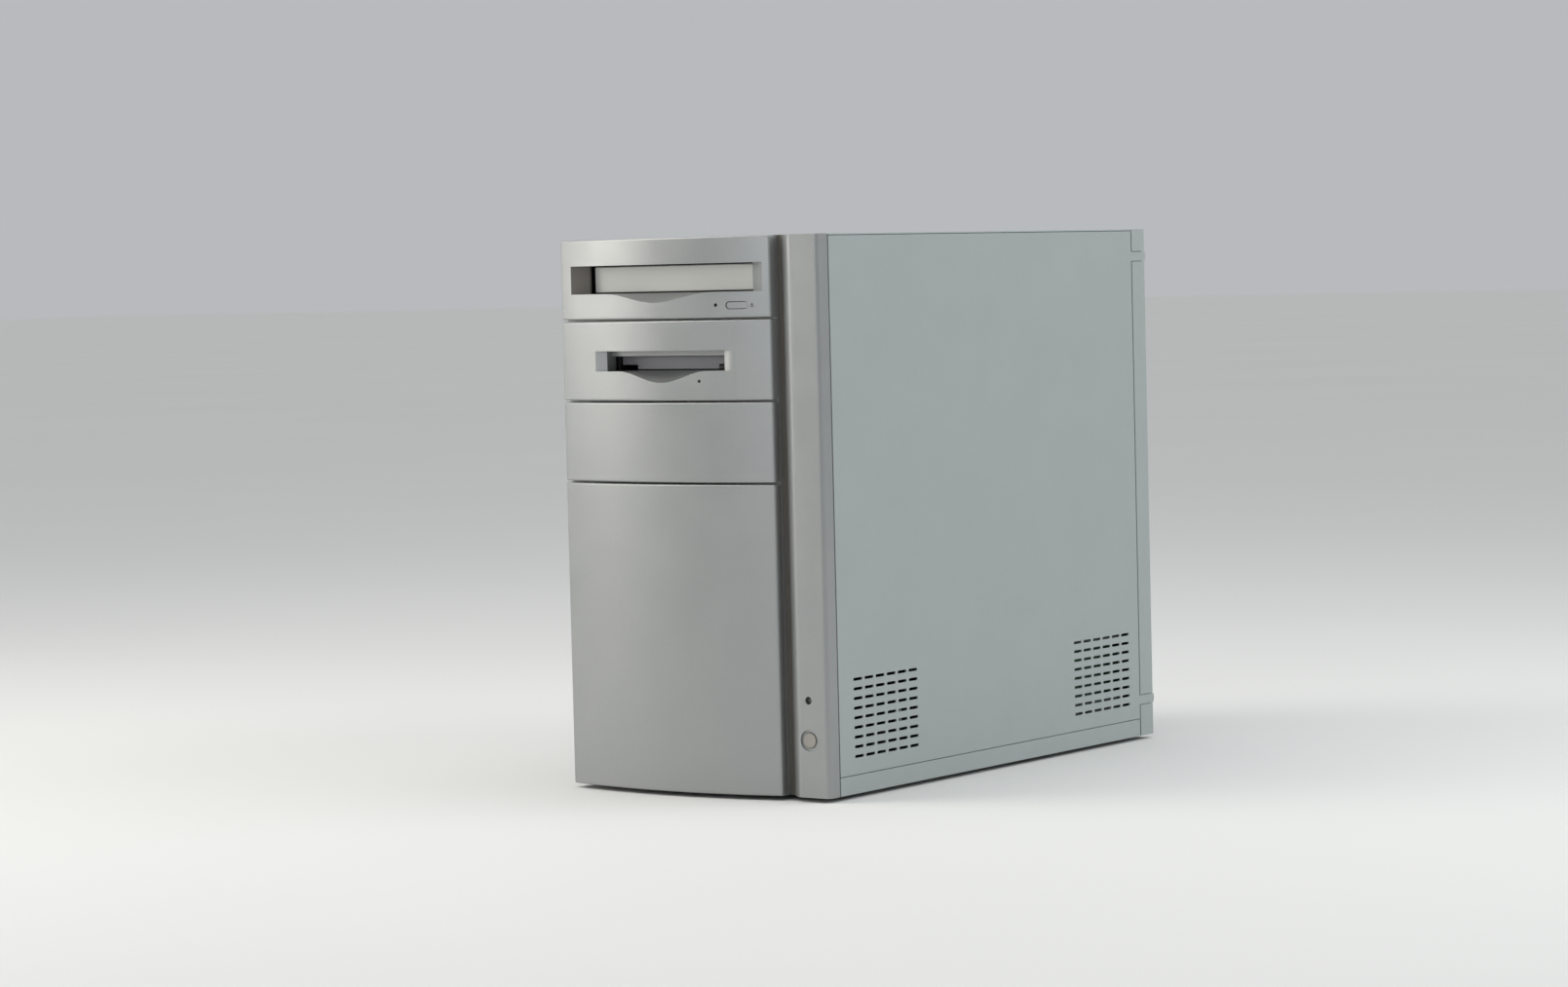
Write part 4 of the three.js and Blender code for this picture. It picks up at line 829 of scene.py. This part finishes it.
@dataclass
class OpticalDrive(SubAssembly):
    """The optical drive with its tray, its eject button and what is inside it."""

    front_mm: float = 4.8  # thickness of its plastic front
    bow_mm: float = 11.0  # rise of the bay panel's bow
    mark_mm: float = 3.2  # from the eject button to the middle of its mark

    def build(self) -> None:
        """Builds the drive, its moving tray and its button."""
        plastic_back = Box.of("optical_drive").low.y + self.front_mm * MM
        finishes = (ZINC, BLACK_ABS)
        self.refine("optical_drive", 0.25, 2, finishes, lambda centre, _: int(centre.y < plastic_back))
        self.refine("disc_tray", 0.4)
        self.refine("tray_front", 0.7, 4)
        self.refine("optical_eject_button", 0.4, 3)
        self.spindle()
        self.refine("laser_sled", 0.5)
        self.lens()
        self.eject_mark()

    def spindle(self) -> None:
        """Builds the turntable with its clamping hub."""
        profile = [(0, 0), (7, 0), (7, 3), (14.4, 3), (15, 3.4), (15, 5.9), (14.4, 6.5), (8.5, 6.5)]
        profile += [(8, 6), (7, 6), (7, 7), (6.3, 8), (2.5, 8), (2, 7), (0, 7)]
        self.turn("disc_spindle", "hub", profile, Axis.Z)

    def lens(self) -> None:
        """Builds the laser's lens on its sled."""
        box = Box.of("laser_sled")
        bm = bmesh.new()
        top = Vector((box.centre.x, box.low.y + 6 * MM, box.high.z))
        profile = [(0, 1.1), (1.4, 0.9), (2.4, 0.2), (3.6, 0.1), (3.8, -0.4), (0, -0.4)]
        turned(bm, profile, Axis.Z, top, 24)
        self.make("laser_lens", bm, BODY_OF["laser_sled"], "lamp_plastic")

    def eject_mark(self) -> None:
        """Builds the small moulded triangle over a bar beside the eject button."""
        button = Box.of("optical_eject_button")
        panel = Box.of("optical_bay_panel")
        x = button.high.x + self.mark_mm * MM
        z = button.centre.z
        across = x - panel.centre.x
        radius = bow_radius(panel.size.x / 2, self.bow_mm * MM)
        y = panel.low.y + radius - math.sqrt(radius**2 - across**2)
        bm = bmesh.new()
        box_at((x, y, z - 1.1 * MM), 2.4, 0.2, 0.5).mesh(bm)
        bmesh.ops.create_cone(
            bm,
            cap_ends=True,
            segments=3,
            radius1=1.3 * MM,
            radius2=1.3 * MM,
            depth=0.2 * MM,
            matrix=Matrix.Translation((x, y, z + 0.3 * MM)) @ Matrix.Rotation(math.pi / 2, 4, "X"),
        )
        turn = Matrix.Rotation(math.asin(across / radius), 4, "Z")
        pivot = Matrix.Translation((x, y, z))
        bmesh.ops.transform(bm, matrix=pivot @ turn @ pivot.inverted(), verts=bm.verts)
        self.make("eject_mark", bm, BODY_OF["optical_bay_panel"], "grey_plastic", (MARK_AND_SHADE_ABS,))


@dataclass
class FloppyDrive(SubAssembly):
    """The floppy drive in its carrier, with its flap and its eject button."""

    front_mm: float = 7.0  # thickness of its plastic front

    def build(self) -> None:
        """Builds the drive and its moving pieces."""
        plastic_back = Box.of("floppy_drive").low.y + self.front_mm * MM
        finishes = (ZINC, BLACK_ABS)
        self.refine("floppy_drive", 0.2, 2, finishes, lambda centre, _: int(centre.y < plastic_back))
        self.refine("floppy_flap", 0.25)
        self.refine("floppy_eject_button", 0.3)
        self.refine("floppy_carrier", 0.4)


@dataclass
class HardDrive(SubAssembly):
    """The hard drive: a casting with a black lid, its screws and its circuit board."""

    screw_inset_mm: float = 4.05  # from the lid's sides
    board_mm: float = 1.8
    lid_mm: float = 3.0

    def build(self) -> None:
        """Builds the casting with its board and black lid, and the lid's screws."""
        box = Box.of("hard_drive")
        board_top = box.low.z + self.board_mm * MM

        def paint(centre: Vector, normal: Vector) -> int:
            if centre.z < board_top:
                return 1
            return 2 if normal.z > 0.9 and centre.z > box.high.z - self.lid_mm * MM else 0

        self.refine("hard_drive", 0.4, 2, (ALUMINIUM, BOARD, CAST_BLACK), paint)
        bm = bmesh.new()
        inset = self.screw_inset_mm * MM
        for x in (box.low.x + inset, box.centre.x, box.high.x - inset):
            for y in (box.low.y + inset * 0.75, box.high.y - inset * 2):
                top = Vector((x, y, box.high.z - 0.2 * MM))
                profile = [(0, 0.15), (0.7, 0.15), (0.8, 0.5), (1.9, 0.35), (2.1, 0)]
                turned(bm, profile, Axis.Z, top, 12)
        self.make("hard_drive_screws", bm, BODY_OF["hard_drive"], "zinc_steel")


# ---- Power supply and fans ----


@dataclass
class PowerSupply(SubAssembly):
    """The power supply with its inlet, its rocker switch and its circuit board."""

    pin_mm: tuple[float, float, float] = (2.0, 12.5, 4.0)
    pin_start_mm: float = 17.8  # from the inlet's face to the back of its well
    board_mm: float = 2.0
    sinks_mm: float = 36.0  # height from which only the heat sinks rise

    def build(self) -> None:
        """Builds the housing and everything that shows on its back."""
        for node in ("psu_base", "psu_cover"):
            self.refine(node, 0.2)
        self.refine("power_inlet", 0.5, 3)
        self.refine("power_rocker_switch", 0.6, 3)
        self.pins()
        self.circuit()

    def pins(self) -> None:
        """Builds the inlet's three blades."""
        box = Box.of("power_inlet")
        y = box.high.y - self.pin_start_mm * MM + self.pin_mm[1] * MM / 2
        bm = bmesh.new()
        for across, up in ((-7, -2), (0, 2.5), (7, -2)):
            place = (box.centre.x + across * MM, y, box.centre.z + up * MM)
            box_at(place, *self.pin_mm).mesh(bm, 0.35)
        self.make("mains_pins", bm, BODY_OF["power_inlet"], "zinc_steel")

    def circuit(self) -> None:
        """Builds the supply's board, with black coils, capacitors and bare heat sinks."""
        box = Box.of("psu_circuit_board")
        board_top = box.low.z + self.board_mm * MM
        sinks = box.low.z + self.sinks_mm * MM

        def paint(centre: Vector, normal: Vector) -> int:
            if centre.z < board_top:
                return 0
            flank = abs(normal.x) > 0.9 and box.size.x * 0.4 < centre.x - box.low.x
            return 1 if centre.z > sinks or flank else 2

        self.refine("psu_circuit_board", 0.3, 1, (BOARD, ALUMINIUM, CAN_SLEEVE), paint)


@dataclass
class Fan(SubAssembly):
    """A fan: a square frame and its bladed rotor, whose names start with one prefix."""

    prefix: str = "case_fan"

    def build(self) -> None:
        """Builds the frame and the rotor."""
        self.refine(f"{self.prefix}_frame", 0.4)
        self.refine(f"{self.prefix}_rotor", 0.3)


# ---- Boards ----


@dataclass
class Mainboard(SubAssembly):
    """The motherboard and what is fixed on it.

    On the board, u runs forward from its back edge, v up from its lower edge and h off its face,
    all in millimetres.
    """

    thickness_mm: float = 1.6

    def point(self, u: float, v: float, h: float) -> Vector:
        """Returns the place of a point on the board, in metres."""
        board = Box.of("motherboard")
        return Vector((self.face() - h * MM, board.high.y - u * MM, board.low.z + v * MM))

    def face(self) -> float:
        """Returns the X of the board's component side."""
        return Box.of("motherboard").high.x - self.thickness_mm * MM

    def block(self, bm: Mesh, u: Span, v: Span, h: Span, bevel_mm: float) -> None:
        """Adds a block that stands on the board, from its three ranges."""
        first, second = self.point(u[0], v[0], h[0]), self.point(u[1], v[1], h[1])
        low, high = Vector(map(min, first, second)), Vector(map(max, first, second))
        Box(low, high).mesh(bm, bevel_mm)

    def build(self) -> None:
        """Builds the board with its sockets, chips and capacitors, the cooler and the memory."""
        self.board()
        self.chips()
        self.capacitors()
        self.refine("processor_heatsink", 0.15, 1)
        self.memory()
        self.ports()
        self.refine("io_shield", 0.15, 1)

    def board(self) -> None:
        """Builds the board, with its sockets in their own plastics."""
        face = self.face()
        origin = self.point(0, 0, 0)

        def paint(centre: Vector, normal: Vector) -> int:
            u, v = (origin.y - centre.y) / MM, (centre.z - origin.z) / MM
            if centre.x > face - 0.3 * MM:
                return 0
            # The memory's sockets, the card slots and the AGP slot above them, the drives' sockets.
            if 90 < v and abs(u - 156) < 10:
                return 1
            if v < 70 and 38 < u < 130:
                return 2 if v > 54 else 3
            return 1 if u > 170 else 4

        finishes = (BOARD, BLACK_ABS, BROWN_SOCKET, IVORY_SOCKET, EPOXY)
        self.refine("motherboard", 0.2, 1, finishes, paint)

    def chips(self) -> None:
        """Builds small chips, resistor packs and coils over the board."""
        bm = bmesh.new()
        for u, v, long, tall in (
            (20, 20, 12, 8),
            (26, 84, 8, 14),
            (142, 60, 9, 16),
            (200, 70, 18, 10),
            (216, 130, 14, 14),
            (212, 180, 9, 16),
            (136, 160, 10, 8),
            (44, 90, 7, 12),
            (232, 96, 6, 10),
        ):
            self.block(bm, (u, u + long), (v, v + tall), (0.2, 2.0), 0.2)
        for row in range(6):
            self.block(bm, (182, 185), (130 + row * 3, 131.6 + row * 3), (0.1, 0.9), 0.1)
            self.block(bm, (230, 233), (150 + row * 3, 151.6 + row * 3), (0.1, 0.9), 0.1)
        self.make("board_chips", bm, BODY_OF["motherboard"], "black_plastic", (EPOXY,))

    def capacitors(self) -> None:
        """Builds the cans round the processor socket and along the memory."""
        bm = bmesh.new()
        can = [(0, -11), (2.6, -11), (2.8, -11.3), (3.4, -11.3), (3.8, -10.7), (3.8, -2.4)]
        can += [(3.5, -2.0), (3.8, -1.6), (3.8, -0.15), (0, -0.15)]
        places = [(112, 212 - i * 11) for i in range(5)] + [(30 + i * 11, 216) for i in range(5)]
        places += [(176, 208 + i * 10) for i in range(3)] + [(20, 40), (20, 54), (140, 88), (232, 60)]
        for u, v in places:
            turned(bm, can, Axis.X, self.point(u, v, 0), 16)
        top = self.face() - 10.8 * MM
        self.make(
            "board_capacitors",
            bm,
            BODY_OF["motherboard"],
            "black_plastic",
            (CAN_SLEEVE, ALUMINIUM),
            paint=lambda centre, normal: int(centre.x < top and normal.x < -0.7),
        )

    def memory(self) -> None:
        """Builds the memory module: green board, black chips and gold contacts."""
        box = Box.of("memory_module")
        contact = box.high.x - 5 * MM
        card = box.high.y - 1.2 * MM

        def paint(centre: Vector, normal: Vector) -> int:
            if centre.x > contact:
                return 2
            on_card = centre.y < card - 0.02 * MM and centre.y < box.centre.y
            return 1 if on_card and normal.y < -0.5 else 0

        self.refine("memory_module", 0.1, 1, (BOARD, EPOXY, GOLD), paint)

    def ports(self) -> None:
        """Builds the rear ports: the solid's shells, with sockets, sleeves and pins on them."""
        self.refine("io_ports", 0.3, 2, (ZINC,))
        box = Box.of("io_ports")
        face = box.high.y
        near = self.face() - 6 * MM
        low = box.low.z - 4 * MM
        rings = [(0, -0.4), (3.2, -0.4), (3.2, 0.5), (4.6, 0.7), (5.2, 0.4), (5.2, -0.4)]
        for name, along, finish in (
            ("keyboard_socket", 0, LILAC_SOCKET),
            ("mouse_socket", 13, GREEN_SOCKET),
        ):
            bm = bmesh.new()
            turned(bm, rings, Axis.Y, Vector((near - along * MM, face, low + 146.5 * MM)), 24)
            self.make(name, bm, "case", "connector_plastic", (finish,))
        shells, inserts, pins = bmesh.new(), bmesh.new(), bmesh.new()
        for up, length, count in ((101, 30, 9), (63, 30, 13), (25, 26, 8)):
            x, z = near + 1 * MM, low + up * MM
            box_at((x, face + 0.3 * MM, z), 8.4, 0.9, length).mesh(shells, 0.4)
            box_at((x, face + 0.75 * MM, z), 6, 0.5, length - 5).mesh(inserts, 0.2)
            for index in range(count):
                offset = (index - (count - 1) / 2) * (length - 9) / count
                side = 1.3 if index % 2 else -1.3
                place = (near + (1 + side) * MM, face + 1.05 * MM, z + offset * MM)
                box_at(place, 0.8, 0.2, 0.8).mesh(pins)
        for up in (129 - 3.2, 129 + 3.2):
            x, z = near - 1 * MM, low + up * MM
            box_at((x, face + 0.1 * MM, z), 12, 0.5, 4.6).mesh(shells, 0.2)
            box_at((x, face + 0.35 * MM, z), 10.6, 0.3, 3.4).mesh(inserts, 0.1)
        self.make("port_shells", shells, "case", "zinc_steel")
        self.make("port_inserts", inserts, "case", "connector_plastic", (BLUE_SOCKET,))
        self.make("port_pins", pins, "case", "zinc_steel", (GOLD,))


@dataclass
class Cards(SubAssembly):
    """The two expansion cards and the blank covers of the free slots."""

    def build(self) -> None:
        """Builds the cards with their brackets, chips and contacts."""
        for node in ("graphics_card", "sound_card"):
            self.card(node)
        for node in ("slot_cover_upper", "slot_cover_lower"):
            self.refine(node, 0.2)

    def card(self, node: str) -> None:
        """Builds a card: zinc bracket, green board, black chips and gold contacts.

        Args:
            node: The card's solid.
        """
        box = Box.of(node)
        bracket = box.high.y - 11.2 * MM
        contact = Box.of("motherboard").low.x + 8 * MM
        chips_low = box.low.z + 3 * MM if node == "graphics_card" else box.low.z

        def paint(centre: Vector, normal: Vector) -> int:
            in_front = centre.y <= box.high.y - 1.2 * MM
            if centre.y > bracket and not (in_front and centre.x >= box.low.x + 2 * MM):
                return 1
            if centre.x > contact:
                return 3
            return 2 if normal.z < -0.5 and centre.z < chips_low else 0

        self.refine(node, 0.12, 1, (BOARD, ZINC, EPOXY, GOLD), paint)
        face, z = box.high.y + 0.2 * MM, box.high.z - 9.2 * MM
        bm = bmesh.new()
        if node == "graphics_card":
            x = box.high.x - 52 * MM
            box_at((x, face, z), 31, 1.2, 9).mesh(bm, 0.4)
            self.make("monitor_port_shell", bm, BODY_OF[node], "zinc_steel")
            bm = bmesh.new()
            box_at((x, face + 0.55 * MM, z), 24, 0.4, 6).mesh(bm, 0.15)
            self.make("monitor_port_insert", bm, BODY_OF[node], "connector_plastic", (BLUE_SOCKET,))
            return
        ring = [(0, -0.3), (1.8, -0.3), (1.8, 0.6), (3.2, 0.9), (3.8, 0.6), (3.8, 0)]
        for index in range(4):
            x = box.high.x - (36 + 13 * index) * MM
            turned(bm, ring, Axis.Y, Vector((x, face, z)), 20)
        self.make("sound_sockets", bm, BODY_OF[node], "connector_plastic", (GREEN_SOCKET,))


@dataclass
class Leads(SubAssembly):
    """The ribbons and the power lead inside the case."""

    plug_mm: float = 11.0
    harness_plug_mm: float = 19.0

    def build(self) -> None:
        """Builds the leads with their plugs."""
        self.ribbon("ide_ribbon", 50)
        self.ribbon("floppy_ribbon", 42)
        plug = Box.of("power_harness").high.x - self.harness_plug_mm * MM
        finishes = (BLACK_ABS, IVORY_SOCKET)
        self.refine("power_harness", 0.2, 1, finishes, lambda centre, _: int(centre.x > plug))

    def ribbon(self, node: str, width_mm: float) -> None:
        """Builds a ribbon whose wires follow its fold, with its black plug.

        Args:
            node: The ribbon's solid.
            width_mm: Its width.
        """
        box = Box.of(node)
        fold = box.low.z + (width_mm + 3) * MM
        plug = box.high.x - self.plug_mm * MM

        def paint(centre: Vector, normal: Vector) -> int:
            if centre.x > plug and (abs(normal.y) < 0.5 or centre.z < box.low.z + width_mm * MM):
                return 2 if abs(centre.x - box.high.x) < 9.9 * MM else 1
            return 0 if centre.z > fold else 1

        self.refine(node, 0.2, 1, (CABLE_DOWN, CABLE_ACROSS, BLACK_ABS), paint)


# ---- Studio ----


@dataclass(frozen=True)
class Softbox:
    """A large soft lamp aimed at the computer."""

    name: str
    azimuth: float  # the side that it stands on, in degrees: 0 is in front, 90 at the right
    elevation: float  # its height above the horizon, in degrees
    distance: float  # in metres
    size: Span  # width and height in metres
    power: float  # in watts
    colour: str = "#ffffff"

    def light(self, target: Vector) -> None:
        """Adds the lamp, aimed at a point."""
        data = bpy.data.lights.new(self.name, "AREA")
        data.shape = "RECTANGLE"
        data.size, data.size_y = self.size
        data.energy = self.power
        data.color = linear(self.colour)[:3]
        lamp = added(self.name, data)
        side, up = math.radians(self.azimuth), math.radians(self.elevation)
        away = Vector((math.sin(side) * math.cos(up), -math.cos(side) * math.cos(up), math.sin(up)))
        lamp.location = target + away * self.distance
        lamp.rotation_mode = "QUATERNION"
        lamp.rotation_quaternion = (-away).to_track_quat("-Z", "Y")


@dataclass
class Studio:
    """The pale floor, the soft lamps and the camera."""

    focal_mm: float = 96.2
    yaw_deg: float = 35.62
    pitch_deg: float = 3.09
    roll_deg: float = -1.389
    stand_m: tuple[float, float, float] = (1.5346, -2.1848, 0.341)
    sky: str = "#eef1f4"
    sky_strength: float = 0.56
    softboxes: tuple[Softbox, ...] = (
        Softbox("left_key", -51, 14, 2.2, (0.9, 0.95), 12, "#fffaf2"),
        Softbox("left_high", -50, 46, 1.5, (0.9, 0.9), 8, "#fffaf2"),
        Softbox("front_fill", -2, 12, 2.6, (0.45, 0.9), 4.5, "#f6f9ff"),
        Softbox("right_fill", 112, 34, 1.7, (1.3, 0.9), 12, "#f6f9fb"),
        Softbox("top_soft", 20, 80, 2.6, (2.2, 2.2), 8, "#ffffff"),
    )
    ceiling: float = 0.62
    ceiling_deg: float = 60.0
    floor_m: float = 30.0

    def build(self) -> None:
        """Builds the floor, the lamps, the sky and the camera."""
        self.floor()
        target = (CAD_BOUNDS[0] + CAD_BOUNDS[1]) / 2
        for softbox in self.softboxes:
            softbox.light(target)
        # An even light from straight above, which lifts the floor as far as it goes.
        ceiling = bpy.data.lights.new("ceiling", "SUN")
        ceiling.energy = self.ceiling
        ceiling.angle = math.radians(self.ceiling_deg)
        added("ceiling", ceiling)
        world = bpy.data.worlds.new("studio_air")
        world.use_nodes = True
        air = world.node_tree.nodes["Background"]
        air.inputs["Color"].default_value = linear(self.sky)
        air.inputs["Strength"].default_value = self.sky_strength
        bpy.context.scene.world = world
        # Paint and plastic keep the tones that their hex colours give them.
        bpy.context.scene.view_settings.view_transform = "Standard"
        self.camera()

    def floor(self) -> None:
        """Builds the floor."""
        bm = bmesh.new()
        bmesh.ops.create_grid(bm, x_segments=8, y_segments=8, size=self.floor_m)
        mesh = mesh_from(bm, "studio_floor")
        mesh.materials.append(FLOOR_PAINT.material())
        floor = added("studio_floor", mesh)

    def camera(self) -> None:
        """Sets the camera up, measured from the case's front right lower corner."""
        pan = Box.of("bottom_pan")
        corner = Vector((pan.high.x, Box.of("front_bezel").low.y, pan.low.z))
        data = bpy.data.cameras.new("camera")
        data.lens = self.focal_mm
        data.sensor_width = 36.0
        data.clip_end = 60.0
        camera = added("camera", data)
        yaw, pitch = math.radians(self.yaw_deg), math.radians(self.pitch_deg)
        turn = Matrix.Rotation(yaw, 4, "Z") @ Matrix.Rotation(math.pi / 2 - pitch, 4, "X")
        roll = Matrix.Rotation(math.radians(self.roll_deg), 4, "Z")
        camera.matrix_world = Matrix.Translation(corner + Vector(self.stand_m)) @ turn @ roll
        bpy.context.scene.camera = camera


# ---- The whole computer ----


def main() -> None:
    """Builds the computer and its studio."""
    logging.basicConfig(level=logging.INFO, format="%(name)s: %(message)s")
    Studio().build()
    assemblies: list[SubAssembly] = [
        MouldedFront(),
        SteelCase(),
        OpticalDrive(),
        FloppyDrive(),
        HardDrive(),
        PowerSupply(),
        Fan(prefix="psu_fan"),
        Fan(prefix="case_fan"),
        Fan(prefix="processor_fan"),
        Mainboard(),
        Cards(),
        Leads(),
    ]
    for assembly in assemblies:
        assembly.build()
        for piece in assembly.pieces:
            log.info("%s: %s, %d faces", type(assembly).__name__, piece.name, len(piece.data.polygons))


if __name__ == "__main__":
    main()
